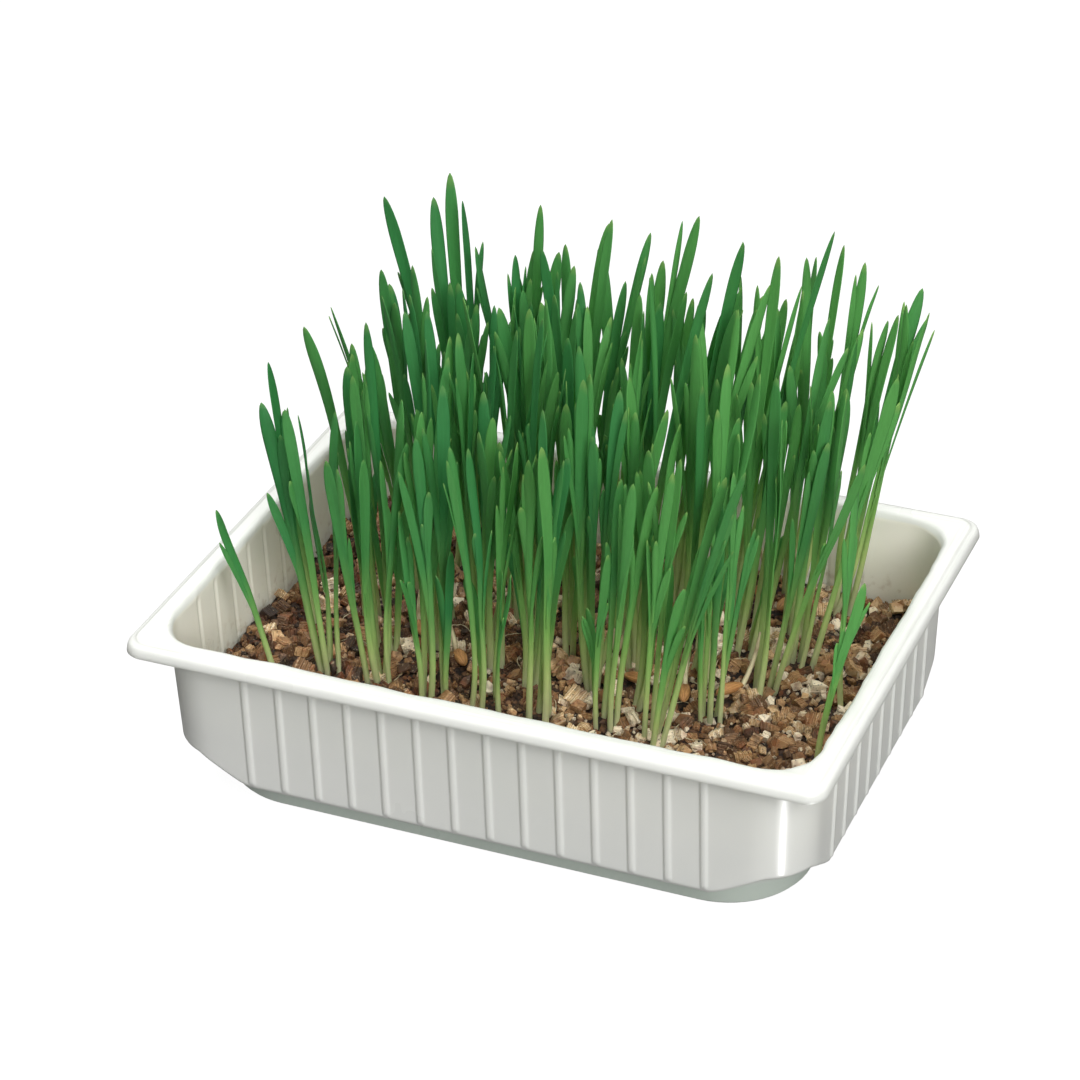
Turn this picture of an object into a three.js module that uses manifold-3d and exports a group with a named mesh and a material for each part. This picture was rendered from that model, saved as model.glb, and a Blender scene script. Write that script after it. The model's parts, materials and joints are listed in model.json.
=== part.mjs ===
// Wheatgrass growing in a white thermoformed tray of damp vermiculite.
// Millimetres, +Z up. The origin is the centre of the tray's underside, +X runs along its long side.

import * as THREE from 'three';
import { mergeVertices } from 'three/addons/utils/BufferGeometryUtils.js';
import Module from 'manifold-3d';

// ---------------------------------------------------------------- driving dimensions

const TRAY = {
  length: 187,        // outer edge of the flange, along X
  width: 137,         // outer edge of the flange, along Y
  height: 50,         // resting plane to the top of the flange
  wall: 1,            // sheet thickness
  lip: 3.7,           // height of the turned-down edge
  lipSlope: 2.3,      // how far the lip leans in from its lower edge to its top
  lipCorner: 7,       // outer corner radius of the flange
  opening: 5.4,       // flange edge to the mouth of the hollow
  shoulder: 3,        // depth over which the hollow's wall bends out to the flange
  wallCorner: 14,     // corner radius of the walls
  wallTopInset: 5.8,  // flange edge to the wall's outer face, under the flange
  wallBottomInset: 6.8,
  footInset: 13.2,    // flange edge to the recessed foot
  footDraft: 0.6,     // how far the foot narrows towards the ground
  footHeight: 9,
  footCorner: 22,     // corner radius of the foot
  cornerLift: 7,      // how far the walls' lower edge rises at the corners
  liftRun: 9,         // length of the straights over which it starts to rise
};

// The stations of a rounded corner: how far round it they are, how far before or after it on the
// straights as a share of TRAY.liftRun, and their share of the lift.
const CORNER_STATIONS = [
  { turn: 0, run: -1, share: 0 },
  { turn: 0, run: 0, share: 0.62 },
  { turn: 0.25, run: 0, share: 1 },
  { turn: 0.5, run: 0, share: 1 },
  { turn: 0.75, run: 0, share: 1 },
  { turn: 1, run: 0, share: 0.62 },
  { turn: 1, run: 1, share: 0 },
];

// The step from the foot to the walls: in from the walls' face, up from the foot's height, how much
// larger the corner radius is than the walls', and the share of the lift.
const STEP_PROFILE = [
  { inside: 6.4, up: -2.2, rounder: 8, share: 0.45 },
  { inside: 2.6, up: -1.4, rounder: 3, share: 0.8 },
  { inside: 0.7, up: -0.5, rounder: 0, share: 1 },
  { inside: 0, up: 1, rounder: 0, share: 1 },
];

// The lip from its lower edge to the flange's top: shares of its slope and of its height.
const LIP_PROFILE = [[0, 0], [0.3, 0.57], [0.78, 0.9], [1, 1]];

const RIB = {
  pitch: 9.5,
  perLongSide: 14,
  perShortSide: 9,
  rootWidth: 2.8,
  crestWidth: 1.5,
  rise: 0.8,          // how far the bead stands out of the wall
  start: 0.2,         // lower end of the bead above the foot's height
  grooveWidth: 3,     // the hollow behind it, on the inside
  grooveDepth: 0.6,
  grooveMargin: 4,    // how far it stops short of the foot and of the flange
};

const BED = {
  gap: 0.3,           // clearance between the granules and the tray
  level: 25,          // mean height of the surface
  swell: 1.3,         // slow unevenness of the surface
  waveX: 31,          // its lengths along X, along Y and along both
  waveY: 23,
  waveBoth: 19,
  granule: 6.6,       // spacing of the granule relief
  roughness: 1.9,     // how far it stands above or below the mean surface
  shift: 0.35,        // how far a lump may be off its place, as a share of the spacing
};

const GRASS = {
  rowPitch: 15.2,
  columnPitch: 15.4,
  frontRow: -24,
  rows: 6,
  leftEdge: -57,
  rightEdgeFront: 41,
  rightEdgeBack: 60,
  widening: 1.6,      // how fast the right edge moves out, row by row
  jitter: 1.9,        // how far a tuft may stand off its place in the rows
  fullShare: 0.85,    // share of the tufts with a full number of shoots
  fullTuft: 5,
  smallTuft: 4,
  shortest: 76,       // usual height of the shoots in the front row, above the bed
  tallest: 93,        // and in the back row
  tuftUneven: 9,      // how much the height varies from tuft to tuft
  shootUneven: 5,     // and from shoot to shoot
  lateFront: 0.3,     // share of late, short shoots in the front row
  lateBack: 0.12,     // and in the back row
  lateHeight: [0.45, 0.78],
  lateSize: 0.85,
  earlyShare: 0.05,
  earlyHeight: [1.12, 1.24],
  fanX: 0.0017,       // lean gained per millimetre away from the middle of the patch
  fanY: 0.0016,
  fanMiddle: { x: -28, y: 12 },
  outLean: 0.02,      // lean of a shoot away from the axis of its own tuft
  loose: 0.05,        // random lean
  fallenShare: 0.15,  // share of the shoots that fall out of line
  fallenLoose: 0.12,  // and their random lean
  bend: 0.09,         // how far a tip may bow to a side, as a share of its length
  facing: 0.35,       // usual heading of a blade's width, in radians
  turn: 0.9,          // how far it may be off that heading
  twist: 0.9,         // how far a blade may turn from root to tip
  bladeWidth: 3.3,
  size: [0.78, 1.15], // scale of the blade's width
  bladeThickness: 0.7,
  clearance: 0.3,     // least gap between shoots of different tufts
  trayClearance: 2,   // least gap between a shoot and the tray's wall
};

// Places along a blade from its root to its tip, and its width and thickness there.
const BLADE = {
  rings: [0, 0.4, 0.8, 1],
  width: [[0, 0.5], [0.4, 0.7], [0.8, 1], [1, 0.32]],
  thickness: [[0, 2.1], [0.4, 1.4], [0.8, 1], [1, 0.9]],
};

const GROWTH = {
  tries: 160,         // draws before a shoot is given up
  shortAfter: 110,    // draws after which it is drawn shorter
  shorter: 0.7,
  ease: 80,           // draws over which its lean gets twice as free
  joined: 5,          // height above the bed up to which the shoots of a tuft may touch
  levelStep: 2,       // distance between the levels at which shoots are kept apart
  settling: 60,       // rounds in which the tufts are moved apart
};

const CROWN = {
  sides: 5,
  topRadius: 5,
  bottomRadius: 4.6,
  depth: 7,
  sunk: 0.9,          // below the surface of the bed
  gap: 0.35,
  funnel: 1.7,        // how much wider the hole's mouth is
  holeRise: 6,        // top of the knot to the mouth of its hole
  rootDepth: 3.5,     // how deep the shoots are sunk into the knot
  shootRing: 2.6,      // radius of the ring on which a tuft's shoots stand
  ringUneven: 0.3,    // how far a shoot may be off its place on it, in radians
  apart: 2.4,         // bed that is left between two knots
  grainApart: 2,      // and between a knot and a grain
};

const GRAIN = {
  sides: 6,
  length: 9.6,
  radius: 1.6,
  profile: [[0, 0], [0.6, 0.1], [1, 0.42], [0.75, 0.78], [0, 1]],
  flatness: 0.85,
  tilt: 0.12,         // radians
  rise: 1.1,          // its middle above the mean surface of the bed
  bluntEnd: 1,        // length of the ends, which shoots may pass closely
};

const GRAIN_PLACES = [
  { x: -41.4, y: 0.5, heading: 122 },
  { x: -25.5, y: -9.8, heading: 128 },
  { x: 8, y: 2.7, heading: 20 },
  { x: 22.2, y: -4.2, heading: 160 },
  { x: 35.7, y: -5.6, heading: 108 },
  { x: 46.2, y: 0.7, heading: 60 },
  { x: 37.6, y: 49.5, heading: 100 },
  { x: 46, y: 45.5, heading: 80 },
];

// Seedlings that stand by themselves at the sides of the patch.
const LONE = { scale: 0.6, loose: 0.01, facing: 0.4, turn: 0.3, size: 0.9 };
const LONE_PLACES = [
  { x: -70.8, y: -29.2, height: 42, lean: { x: -0.28, y: 0.05 } },
  { x: -71.8, y: -1.6, height: 70, lean: { x: -0.135, y: 0 } },
  { x: 75.6, y: -19.8, height: 48, lean: { x: 0.16, y: 0.15 } },
  { x: 73, y: 6.2, height: 58, lean: { x: 0.06, y: 0.08 } },
];

const FINISH = {
  tray: { colour: 0xf1f1ec, roughness: 0.35 },
  bed: { colour: 0x6b4a34, roughness: 0.95 },
  grass: { colour: 0x3f8a3a, roughness: 0.55 },
  grain: { colour: 0xb9803c, roughness: 0.7 },
};

const SEED = 20418;

// ---------------------------------------------------------------- random draws and small helpers

/** A repeatable stream of random numbers from 0 to 1. */
function randomStream(seed) {
  let state = seed >>> 0;
  return () => {
    state = (state + 0x6d2b79f5) >>> 0;
    let t = state;
    t = Math.imul(t ^ (t >>> 15), t | 1);
    t ^= t + Math.imul(t ^ (t >>> 7), t | 61);
    return ((t ^ (t >>> 14)) >>> 0) / 4294967296;
  };
}

const random = randomStream(SEED);
const between = (low, high) => low + (high - low) * random();
const spread = (amount) => between(-amount, amount);
const mix = THREE.MathUtils.lerp;

/** Value of a piecewise linear curve, given as [place, value] pairs, at one place. */
function alongCurve(curve, place) {
  const next = curve.findIndex(([at]) => at >= place);
  if (next <= 0) return curve[next < 0 ? curve.length - 1 : 0][1];
  const [a, valueA] = curve[next - 1];
  const [b, valueB] = curve[next];
  return mix(valueA, valueB, (place - a) / (b - a));
}

// ---------------------------------------------------------------- solids

const wasm = await Module();
wasm.setup();

/** Turns a closed geometry into a solid that can be joined and cut. */
function solidFrom(geometry) {
  const bare = geometry.clone();
  bare.deleteAttribute('normal');
  bare.deleteAttribute('uv');
  const merged = mergeVertices(bare, 1e-4);
  const mesh = new wasm.Mesh({
    numProp: 3,
    vertProperties: new Float32Array(merged.attributes.position.array),
    triVerts: new Uint32Array(merged.index.array),
  });
  return new wasm.Manifold(mesh);
}

/** Turns a solid back into a three.js geometry. */
function geometryFrom(solid) {
  const mesh = solid.getMesh();
  const geometry = new THREE.BufferGeometry();
  geometry.setAttribute('position', new THREE.BufferAttribute(new Float32Array(mesh.vertProperties), 3));
  geometry.setIndex(new THREE.BufferAttribute(new Uint32Array(mesh.triVerts), 1));
  geometry.computeVertexNormals();
  return geometry;
}

/** Keeps the largest of the bodies that a cut or join has left, without its loose scraps. */
function largestBody(solid) {
  const bodies = solid.decompose();
  return bodies.reduce((best, body) => (body.volume() > best.volume() ? body : best));
}

/** Skins a stack of rings, each a list of points in the same order, and closes both ends. */
function skin(rings) {
  const count = rings[0].length;
  const index = [];
  for (let level = 0; level + 1 < rings.length; level += 1) {
    for (let k = 0; k < count; k += 1) {
      const a = level * count + k;
      const b = level * count + ((k + 1) % count);
      index.push(a, b, b + count, a, b + count, a + count);
    }
  }
  const top = (rings.length - 1) * count;
  for (let k = 1; k + 1 < count; k += 1) {
    index.push(0, k + 1, k);
    index.push(top, top + k, top + k + 1);
  }
  const points = rings.flat().flatMap((p) => [p.x, p.y, p.z]);
  const geometry = new THREE.BufferGeometry();
  geometry.setAttribute('position', new THREE.Float32BufferAttribute(points, 3));
  geometry.setIndex(index);
  return geometry;
}

/** A rectangle with rounded corners, set in from the tray's outer edge, at one height. */
function roundedRing({ inset, z, radius, share = 0 }) {
  const halfX = TRAY.length / 2 - inset;
  const halfY = TRAY.width / 2 - inset;
  const corners = [[1, 1], [-1, 1], [-1, -1], [1, -1]];
  return corners.flatMap(([sideX, sideY], corner) => {
    const centre = new THREE.Vector3(sideX * (halfX - radius), sideY * (halfY - radius), z);
    return CORNER_STATIONS.map((station) => {
      const angle = (corner + station.turn) * (Math.PI / 2);
      const [cos, sin] = [Math.cos(angle), Math.sin(angle)];
      const along = station.run * TRAY.liftRun;
      const lift = TRAY.cornerLift * share * station.share;
      return new THREE.Vector3(radius * cos - along * sin, radius * sin + along * cos, lift).add(centre);
    });
  });
}

const stackOfRings = (levels) => solidFrom(skin(levels.map(roundedRing)));

// ---------------------------------------------------------------- tray

/** Levels of the foot, the step and the walls; a depth of more than 0 keeps that much further in. */
function bodyLevels(depth, top) {
  const { footInset, footDraft, footHeight, footCorner, wallBottomInset, wallTopInset, wallCorner } = TRAY;
  const steps = STEP_PROFILE.map(({ inside, up, rounder, share }) => ({
    inset: wallBottomInset + inside + depth,
    z: footHeight + up + depth,
    radius: wallCorner + rounder - depth,
    share,
  }));
  return [
    { inset: footInset + footDraft + depth, z: depth, radius: footCorner - depth },
    ...steps,
    { inset: wallTopInset + depth, z: top, radius: wallCorner - depth },
  ];
}

/** The outside of the tray, from its foot up the walls and over the lip, as if it were full. */
function trayOutside() {
  const { height: top, wall, lip, lipSlope, lipCorner } = TRAY;
  const outer = LIP_PROFILE.map(([inward, up]) => ({
    inset: lipSlope * inward,
    z: top - lip * (1 - up),
    radius: lipCorner - lipSlope * inward * 0.5,
  }));
  const under = outer.slice(0, 2).reverse().map(({ inset, z, radius }) => (
    { inset: inset + wall, z, radius: radius - wall / 2 }
  ));
  return stackOfRings([
    ...bodyLevels(0, top - wall),
    { inset: lipSlope + wall / 2, z: top - wall, radius: lipCorner - wall },
    ...under,
    ...outer,
  ]);
}

/** The hollow that is cut out of the outside, with the rounded shoulder under the flange. */
function trayHollow() {
  const { height: top, wall, wallCorner, wallTopInset, opening, shoulder } = TRAY;
  const radius = wallCorner - wall;
  const bend = wallTopInset + wall - opening;
  return stackOfRings([
    ...bodyLevels(wall, top - shoulder),
    { inset: opening + bend * 0.86, z: top - wall * 1.4, radius },
    { inset: opening + bend * 0.5, z: top - wall * 0.4, radius },
    { inset: opening, z: top, radius },
    { inset: opening, z: top + wall, radius },
  ]);
}

/** How far the walls' outer face is set in from the flange's edge, at one height. */
function wallInset(z) {
  const { height: top, footHeight: foot } = TRAY;
  return mix(TRAY.wallBottomInset, TRAY.wallTopInset, (z - foot) / (top - foot));
}

/** An upright bar on the wall that faces +Y; its outline is given as [along, out] from the wall's face. */
function uprightBar({ place, outline, halfSpan, bottom, top }) {
  const section = (z) => outline.map(([along, out]) => (
    new THREE.Vector3(place + along, halfSpan - wallInset(z) + out, z)
  ));
  return solidFrom(skin([section(bottom), section(top)]));
}

/** Calls make(place, halfSpan) for every rib and turns the result to the wall that it is on. */
function onEveryWall(make) {
  const walls = [
    { turn: 0, count: RIB.perLongSide, halfSpan: TRAY.width / 2 },
    { turn: 90, count: RIB.perShortSide, halfSpan: TRAY.length / 2 },
    { turn: 180, count: RIB.perLongSide, halfSpan: TRAY.width / 2 },
    { turn: 270, count: RIB.perShortSide, halfSpan: TRAY.length / 2 },
  ];
  return walls.flatMap(({ turn, count, halfSpan }) => (
    Array.from({ length: count }, (_, k) => {
      const place = (k - (count - 1) / 2) * RIB.pitch;
      return make(place, halfSpan).rotate([0, 0, turn]);
    })
  ));
}

function buildTray() {
  const { height: top, footHeight: foot, wall } = TRAY;
  const root = RIB.rootWidth / 2;
  const crest = RIB.crestWidth / 2;
  const bead = [[root, -wall / 2], [crest, RIB.rise], [-crest, RIB.rise], [-root, -wall / 2]];
  const side = RIB.grooveWidth / 2;
  const groove = [[side, -RIB.grooveDepth], [0, RIB.grooveDepth], [-side, -RIB.grooveDepth]];
  const beads = onEveryWall((place, halfSpan) => uprightBar({
    place,
    halfSpan,
    outline: bead,
    bottom: foot + RIB.start,
    top: top - wall / 2,
  }));
  const grooves = onEveryWall((place, halfSpan) => uprightBar({
    place,
    halfSpan: halfSpan - wall,
    outline: groove,
    bottom: foot + RIB.grooveMargin,
    top: top - RIB.grooveMargin,
  }));
  const shell = trayOutside().subtract(trayHollow());
  return wasm.Manifold.union([shell, ...beads]).subtract(wasm.Manifold.union(grooves));
}

// ---------------------------------------------------------------- bed

/** Mean height of the bed's surface at a place, without the granules. */
function bedHeight(x, y) {
  const across = Math.sin(x / BED.waveX + 0.6) * Math.cos(y / BED.waveY - 0.4);
  const along = Math.sin((x + y) / BED.waveBoth + 1.9);
  return BED.level + BED.swell * mix(across, along, 0.35);
}

/** A slab whose top is the granule relief; it is wider than the bed and is cut to its outline. */
function granuleSlab() {
  const columns = Math.ceil(TRAY.length / BED.granule);
  const rows = Math.ceil(TRAY.width / BED.granule);
  const draw = randomStream(SEED + 1);
  const offset = () => 2 * draw() - 1;
  const points = [];
  for (let j = 0; j <= rows; j += 1) {
    for (let i = 0; i <= columns; i += 1) {
      const x = (i - columns / 2 + offset() * BED.shift) * BED.granule;
      const y = (j - rows / 2 + offset() * BED.shift) * BED.granule;
      const z = bedHeight(x, y) + offset() * BED.roughness;
      points.push(x, y, z);
    }
  }
  const topCount = points.length / 3;
  for (let k = 0; k < topCount; k += 1) {
    points.push(points[3 * k], points[3 * k + 1], -BED.level);
  }
  const at = (i, j) => j * (columns + 1) + i;
  const index = [];
  const quad = (a, b, c, d) => index.push(a, b, c, a, c, d);
  for (let j = 0; j < rows; j += 1) {
    for (let i = 0; i < columns; i += 1) {
      const [a, b, c, d] = [at(i, j), at(i + 1, j), at(i + 1, j + 1), at(i, j + 1)];
      quad(a, b, c, d);
      quad(topCount + d, topCount + c, topCount + b, topCount + a);
    }
  }
  const edge = (a, b) => quad(b, a, topCount + a, topCount + b);
  for (let i = 0; i < columns; i += 1) {
    edge(at(i, 0), at(i + 1, 0));
    edge(at(i + 1, rows), at(i, rows));
  }
  for (let j = 0; j < rows; j += 1) {
    edge(at(0, j + 1), at(0, j));
    edge(at(columns, j), at(columns, j + 1));
  }
  const geometry = new THREE.BufferGeometry();
  geometry.setAttribute('position', new THREE.Float32BufferAttribute(points, 3));
  geometry.setIndex(index);
  return solidFrom(geometry);
}

function buildBed(holes) {
  const block = stackOfRings(bodyLevels(TRAY.wall + BED.gap, TRAY.height - TRAY.shoulder));
  return largestBody(block.intersect(granuleSlab()).subtract(wasm.Manifold.union(holes)));
}

// ---------------------------------------------------------------- grains

/** A husked grain lying on the bed: a spindle with blunt ends. */
function grainSolid({ x, y, heading }, extra) {
  const length = GRAIN.length + 2 * extra;
  const radius = GRAIN.radius + extra;
  const outline = GRAIN.profile.map(([r, along]) => new THREE.Vector2(r * radius, (along - 0.5) * length));
  const geometry = new THREE.LatheGeometry(outline, GRAIN.sides);
  geometry.rotateZ(-Math.PI / 2);
  geometry.scale(1, 1, GRAIN.flatness);
  geometry.rotateY(GRAIN.tilt);
  geometry.rotateZ(THREE.MathUtils.degToRad(heading));
  geometry.translate(x, y, bedHeight(x, y) + GRAIN.rise);
  return solidFrom(geometry);
}

// ---------------------------------------------------------------- shoots

/** The blade's sections from its root to its tip: centre, tangent, width and thickness. */
function bladeSections(shoot) {
  const { foot, length, lean, bend, facing, twist, size } = shoot;
  return BLADE.rings.map((s) => {
    const sideways = lean.clone().multiplyScalar(s).addScaledVector(bend, s * s);
    const slope = lean.clone().addScaledVector(bend, 2 * s);
    const centre = foot.clone().addScaledVector(sideways, length);
    centre.z += length * s;
    const tangent = new THREE.Vector3(slope.x, slope.y, 1).normalize();
    const angle = facing + twist * s;
    const across = new THREE.Vector3(Math.cos(angle), Math.sin(angle), 0);
    across.addScaledVector(tangent, -across.dot(tangent)).normalize();
    return {
      centre,
      across,
      through: new THREE.Vector3().crossVectors(tangent, across),
      halfWidth: (GRASS.bladeWidth * size * alongCurve(BLADE.width, s)) / 2,
      halfThickness: (GRASS.bladeThickness * alongCurve(BLADE.thickness, s)) / 2,
    };
  });
}

function bladeSolid(sections) {
  const rings = sections.map(({ centre, across, through, halfWidth, halfThickness }) => (
    [[1, -1], [1, 1], [-1, 1], [-1, -1]].map(([w, t]) => (
      centre.clone().addScaledVector(across, w * halfWidth).addScaledVector(through, t * halfThickness)
    ))
  ));
  return solidFrom(skin(rings));
}

/** Where the blade is at each of the levels at which shoots are kept apart. */
function bladeTrace(sections) {
  const trace = new Map();
  const first = Math.ceil(sections[0].centre.z / GROWTH.levelStep);
  const last = Math.floor(sections[sections.length - 1].centre.z / GROWTH.levelStep);
  for (let level = first; level <= last; level += 1) {
    const z = level * GROWTH.levelStep;
    const next = Math.max(1, sections.findIndex(({ centre }) => centre.z >= z));
    const [a, b] = [sections[next - 1], sections[next]];
    const t = (z - a.centre.z) / (b.centre.z - a.centre.z);
    const centre = a.centre.clone().lerp(b.centre, t);
    const reach = a.across.clone().multiplyScalar(a.halfWidth)
      .lerp(b.across.clone().multiplyScalar(b.halfWidth), t);
    trace.set(level, {
      start: new THREE.Vector2(centre.x - reach.x, centre.y - reach.y),
      end: new THREE.Vector2(centre.x + reach.x, centre.y + reach.y),
      radius: mix(a.halfThickness, b.halfThickness, t) * 1.1,
    });
  }
  return trace;
}

/** Shortest distance from a point to a stretch between two points, in plan. */
function distanceToStretch(point, start, end) {
  const run = end.clone().sub(start);
  const t = THREE.MathUtils.clamp(point.clone().sub(start).dot(run) / Math.max(run.lengthSq(), 1e-9), 0, 1);
  return point.distanceTo(start.clone().addScaledVector(run, t));
}

/** Shortest distance between two stretches in plan, or 0 where they cross. */
function distanceBetween(a, b) {
  const side = (p, q, r) => (q.x - p.x) * (r.y - p.y) - (q.y - p.y) * (r.x - p.x);
  const split = side(a.start, a.end, b.start) * side(a.start, a.end, b.end) < 0;
  if (split && side(b.start, b.end, a.start) * side(b.start, b.end, a.end) < 0) return 0;
  return Math.min(
    distanceToStretch(a.start, b.start, b.end),
    distanceToStretch(a.end, b.start, b.end),
    distanceToStretch(b.start, a.start, a.end),
    distanceToStretch(b.end, a.start, a.end),
  );
}

/** Whether two traces keep their distance at every level above a given one. */
function apart(traceA, traceB, lowestLevel, gap) {
  for (const [level, a] of traceA) {
    const b = traceB.get(level);
    if (b && level >= lowestLevel && distanceBetween(a, b) < a.radius + b.radius + gap) return false;
  }
  return true;
}

/** Whether a trace stays inside the tray's hollow up to the flange. */
function clearOfTray(trace) {
  const inset = TRAY.wallBottomInset + TRAY.wall + GRASS.trayClearance;
  const limitX = TRAY.length / 2 - inset;
  const limitY = TRAY.width / 2 - inset;
  const topLevel = TRAY.height / GROWTH.levelStep + 1;
  return [...trace].every(([level, { start, end }]) => (
    level > topLevel || [start, end].every((p) => Math.abs(p.x) < limitX && Math.abs(p.y) < limitY)
  ));
}

/** The grains as obstacles: a stretch in plan at the few levels that they take up. */
const grainTraces = GRAIN_PLACES.map(({ x, y, heading }) => {
  const angle = THREE.MathUtils.degToRad(heading);
  const reach = GRAIN.length / 2 - GRAIN.bluntEnd;
  const half = new THREE.Vector2(Math.cos(angle), Math.sin(angle)).multiplyScalar(reach);
  const middle = new THREE.Vector2(x, y);
  const stretch = { start: middle.clone().sub(half), end: middle.clone().add(half), radius: GRAIN.radius };
  const levels = [-2, -1, 0, 1, 2].map((k) => Math.round(bedHeight(x, y) / GROWTH.levelStep) + k);
  return new Map(levels.map((level) => [level, stretch]));
});

const placed = [];

/** Whether a shoot's trace is clear of the tray, of the grains and of all shoots that already stand. */
function hasRoom(trace, tuft, joinedLevel) {
  return clearOfTray(trace)
    && placed.every((other) => (
      apart(trace, other.trace, other.tuft === tuft ? joinedLevel : 0, GRASS.clearance)
    ))
    && grainTraces.every((grain) => apart(trace, grain, 0, GRASS.clearance));
}

/** Draws one shoot again and again until it is clear of all that is already there. */
function growShoot({ tuft, foot, height, lean, loose, facing, turn, size }) {
  const joinedLevel = Math.ceil((bedHeight(foot.x, foot.y) + GROWTH.joined) / GROWTH.levelStep);
  for (let tries = 0; tries < GROWTH.tries; tries += 1) {
    const ease = 1 + tries / GROWTH.ease;
    const shorter = tries < GROWTH.shortAfter ? 1 : GROWTH.shorter;
    const sections = bladeSections({
      foot,
      length: (height + spread(GRASS.shootUneven)) * shorter + CROWN.rootDepth + CROWN.sunk,
      lean: new THREE.Vector3(lean.x + spread(loose) * ease, lean.y + spread(loose) * ease, 0),
      bend: new THREE.Vector3(spread(GRASS.bend), spread(GRASS.bend), 0),
      facing: facing + spread(turn) * ease,
      twist: spread(GRASS.twist),
      size,
    });
    const trace = bladeTrace(sections);
    if (hasRoom(trace, tuft, joinedLevel)) {
      placed.push({ tuft, trace });
      return bladeSolid(sections);
    }
  }
  return null;
}

/** The tuft's axis, which leans as its shoots do, at a height above the top of its root knot. */
function axisAt({ x, y, lean }, rise) {
  const top = bedHeight(x, y) - CROWN.sunk;
  return new THREE.Vector3(x + lean.x * rise, y + lean.y * rise, top + rise);
}

/** One level of a tuft's root knot, or of its hole. */
function crownRing(tuft, radius, rise) {
  return Array.from({ length: CROWN.sides }, (_, k) => {
    const angle = (2 * Math.PI * k) / CROWN.sides;
    return new THREE.Vector3(radius * Math.cos(angle), radius * Math.sin(angle), 0).add(axisAt(tuft, rise));
  });
}

/** The knot of roots that a tuft's shoots stand in. */
function crownSolid(tuft) {
  return solidFrom(skin([
    crownRing(tuft, CROWN.bottomRadius * tuft.scale, -CROWN.depth),
    crownRing(tuft, CROWN.topRadius * tuft.scale, 0),
  ]));
}

/** The plain hole that the knot stands in, with a wider mouth. */
function crownHole(tuft) {
  const { gap, funnel, topRadius, bottomRadius, depth } = CROWN;
  return solidFrom(skin([
    crownRing(tuft, bottomRadius * tuft.scale + gap, -depth - gap),
    crownRing(tuft, topRadius * tuft.scale + gap + funnel, CROWN.holeRise),
  ]));
}

/** Moves tufts apart, away from the grains and from the walls, until some bed is left around each. */
function settle(tufts) {
  const leastToTuft = 2 * CROWN.topRadius + CROWN.apart;
  const leastToGrain = CROWN.topRadius + GRAIN.radius + CROWN.grainApart;
  const margin = TRAY.wallBottomInset + TRAY.wall + CROWN.topRadius + CROWN.apart;
  const limitX = TRAY.length / 2 - margin;
  const limitY = TRAY.width / 2 - margin;
  const grainPlaces = GRAIN_PLACES.map(({ x, y }) => ({ x, y, least: leastToGrain }));
  for (let round = 0; round < GROWTH.settling; round += 1) {
    tufts.forEach((tuft, k) => {
      const earlier = tufts.slice(0, k).map(({ x, y }) => ({ x, y, least: leastToTuft }));
      for (const { x, y, least } of [...earlier, ...grainPlaces]) {
        const away = new THREE.Vector2(tuft.x - x, tuft.y - y);
        const missing = least - away.length();
        if (missing > 0) {
          away.setLength(missing);
          tuft.x += away.x;
          tuft.y += away.y;
        }
      }
      tuft.x = THREE.MathUtils.clamp(tuft.x, -limitX, limitX);
      tuft.y = THREE.MathUtils.clamp(tuft.y, -limitY, limitY);
    });
  }
}

/** Where the tufts stand: staggered rows over the sown patch, each place shifted a little. */
function planTufts() {
  const tufts = [];
  for (let row = 0; row < GRASS.rows; row += 1) {
    const y = GRASS.frontRow + row * GRASS.rowPitch;
    const back = row / (GRASS.rows - 1);
    const right = mix(GRASS.rightEdgeFront, GRASS.rightEdgeBack, Math.min(1, back * GRASS.widening));
    const start = GRASS.leftEdge + (row % 2) * GRASS.columnPitch * 0.5;
    for (let x = start; x <= right; x += GRASS.columnPitch) {
      tufts.push({
        x: x + spread(GRASS.jitter),
        y: y + spread(GRASS.jitter),
        scale: 1,
        shoots: random() < GRASS.fullShare ? GRASS.fullTuft : GRASS.smallTuft,
        height: mix(GRASS.shortest, GRASS.tallest, back) + spread(GRASS.tuftUneven),
        lateShare: mix(GRASS.lateFront, GRASS.lateBack, back),
      });
    }
  }
  settle(tufts);
  tufts.forEach((tuft) => {
    tuft.lean = fanAt(tuft.x, tuft.y);
  });
  return tufts;
}

/** Common lean of the shoots at a place: they fan out from the middle of the patch. */
function fanAt(x, y) {
  const { fanX, fanY, fanMiddle } = GRASS;
  return new THREE.Vector2(fanX * (x - fanMiddle.x), fanY * (y - fanMiddle.y));
}

/** Relative height of the next shoot: some are late and short, a few are early and tall. */
function drawVigour(lateShare) {
  const draw = random();
  if (draw < lateShare) return between(...GRASS.lateHeight);
  if (draw > 1 - GRASS.earlyShare) return between(...GRASS.earlyHeight);
  return 1;
}

function buildTuft(tuft, number) {
  const start = random() * 2 * Math.PI;
  const blades = [];
  for (let k = 0; k < tuft.shoots; k += 1) {
    const angle = start + (2 * Math.PI * k) / tuft.shoots + spread(CROWN.ringUneven);
    const out = new THREE.Vector3(Math.cos(angle), Math.sin(angle), 0);
    const vigour = drawVigour(tuft.lateShare);
    const blade = growShoot({
      tuft: number,
      foot: axisAt(tuft, -CROWN.rootDepth).addScaledVector(out, CROWN.shootRing),
      height: tuft.height * vigour,
      lean: tuft.lean.clone().addScaledVector(out, GRASS.outLean),
      loose: random() < GRASS.fallenShare ? GRASS.fallenLoose : GRASS.loose,
      facing: GRASS.facing,
      turn: GRASS.turn,
      size: between(...GRASS.size) * (vigour < 1 ? GRASS.lateSize : 1),
    });
    if (blade) blades.push(blade);
  }
  return largestBody(wasm.Manifold.union([crownSolid(tuft), ...blades]));
}

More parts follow.
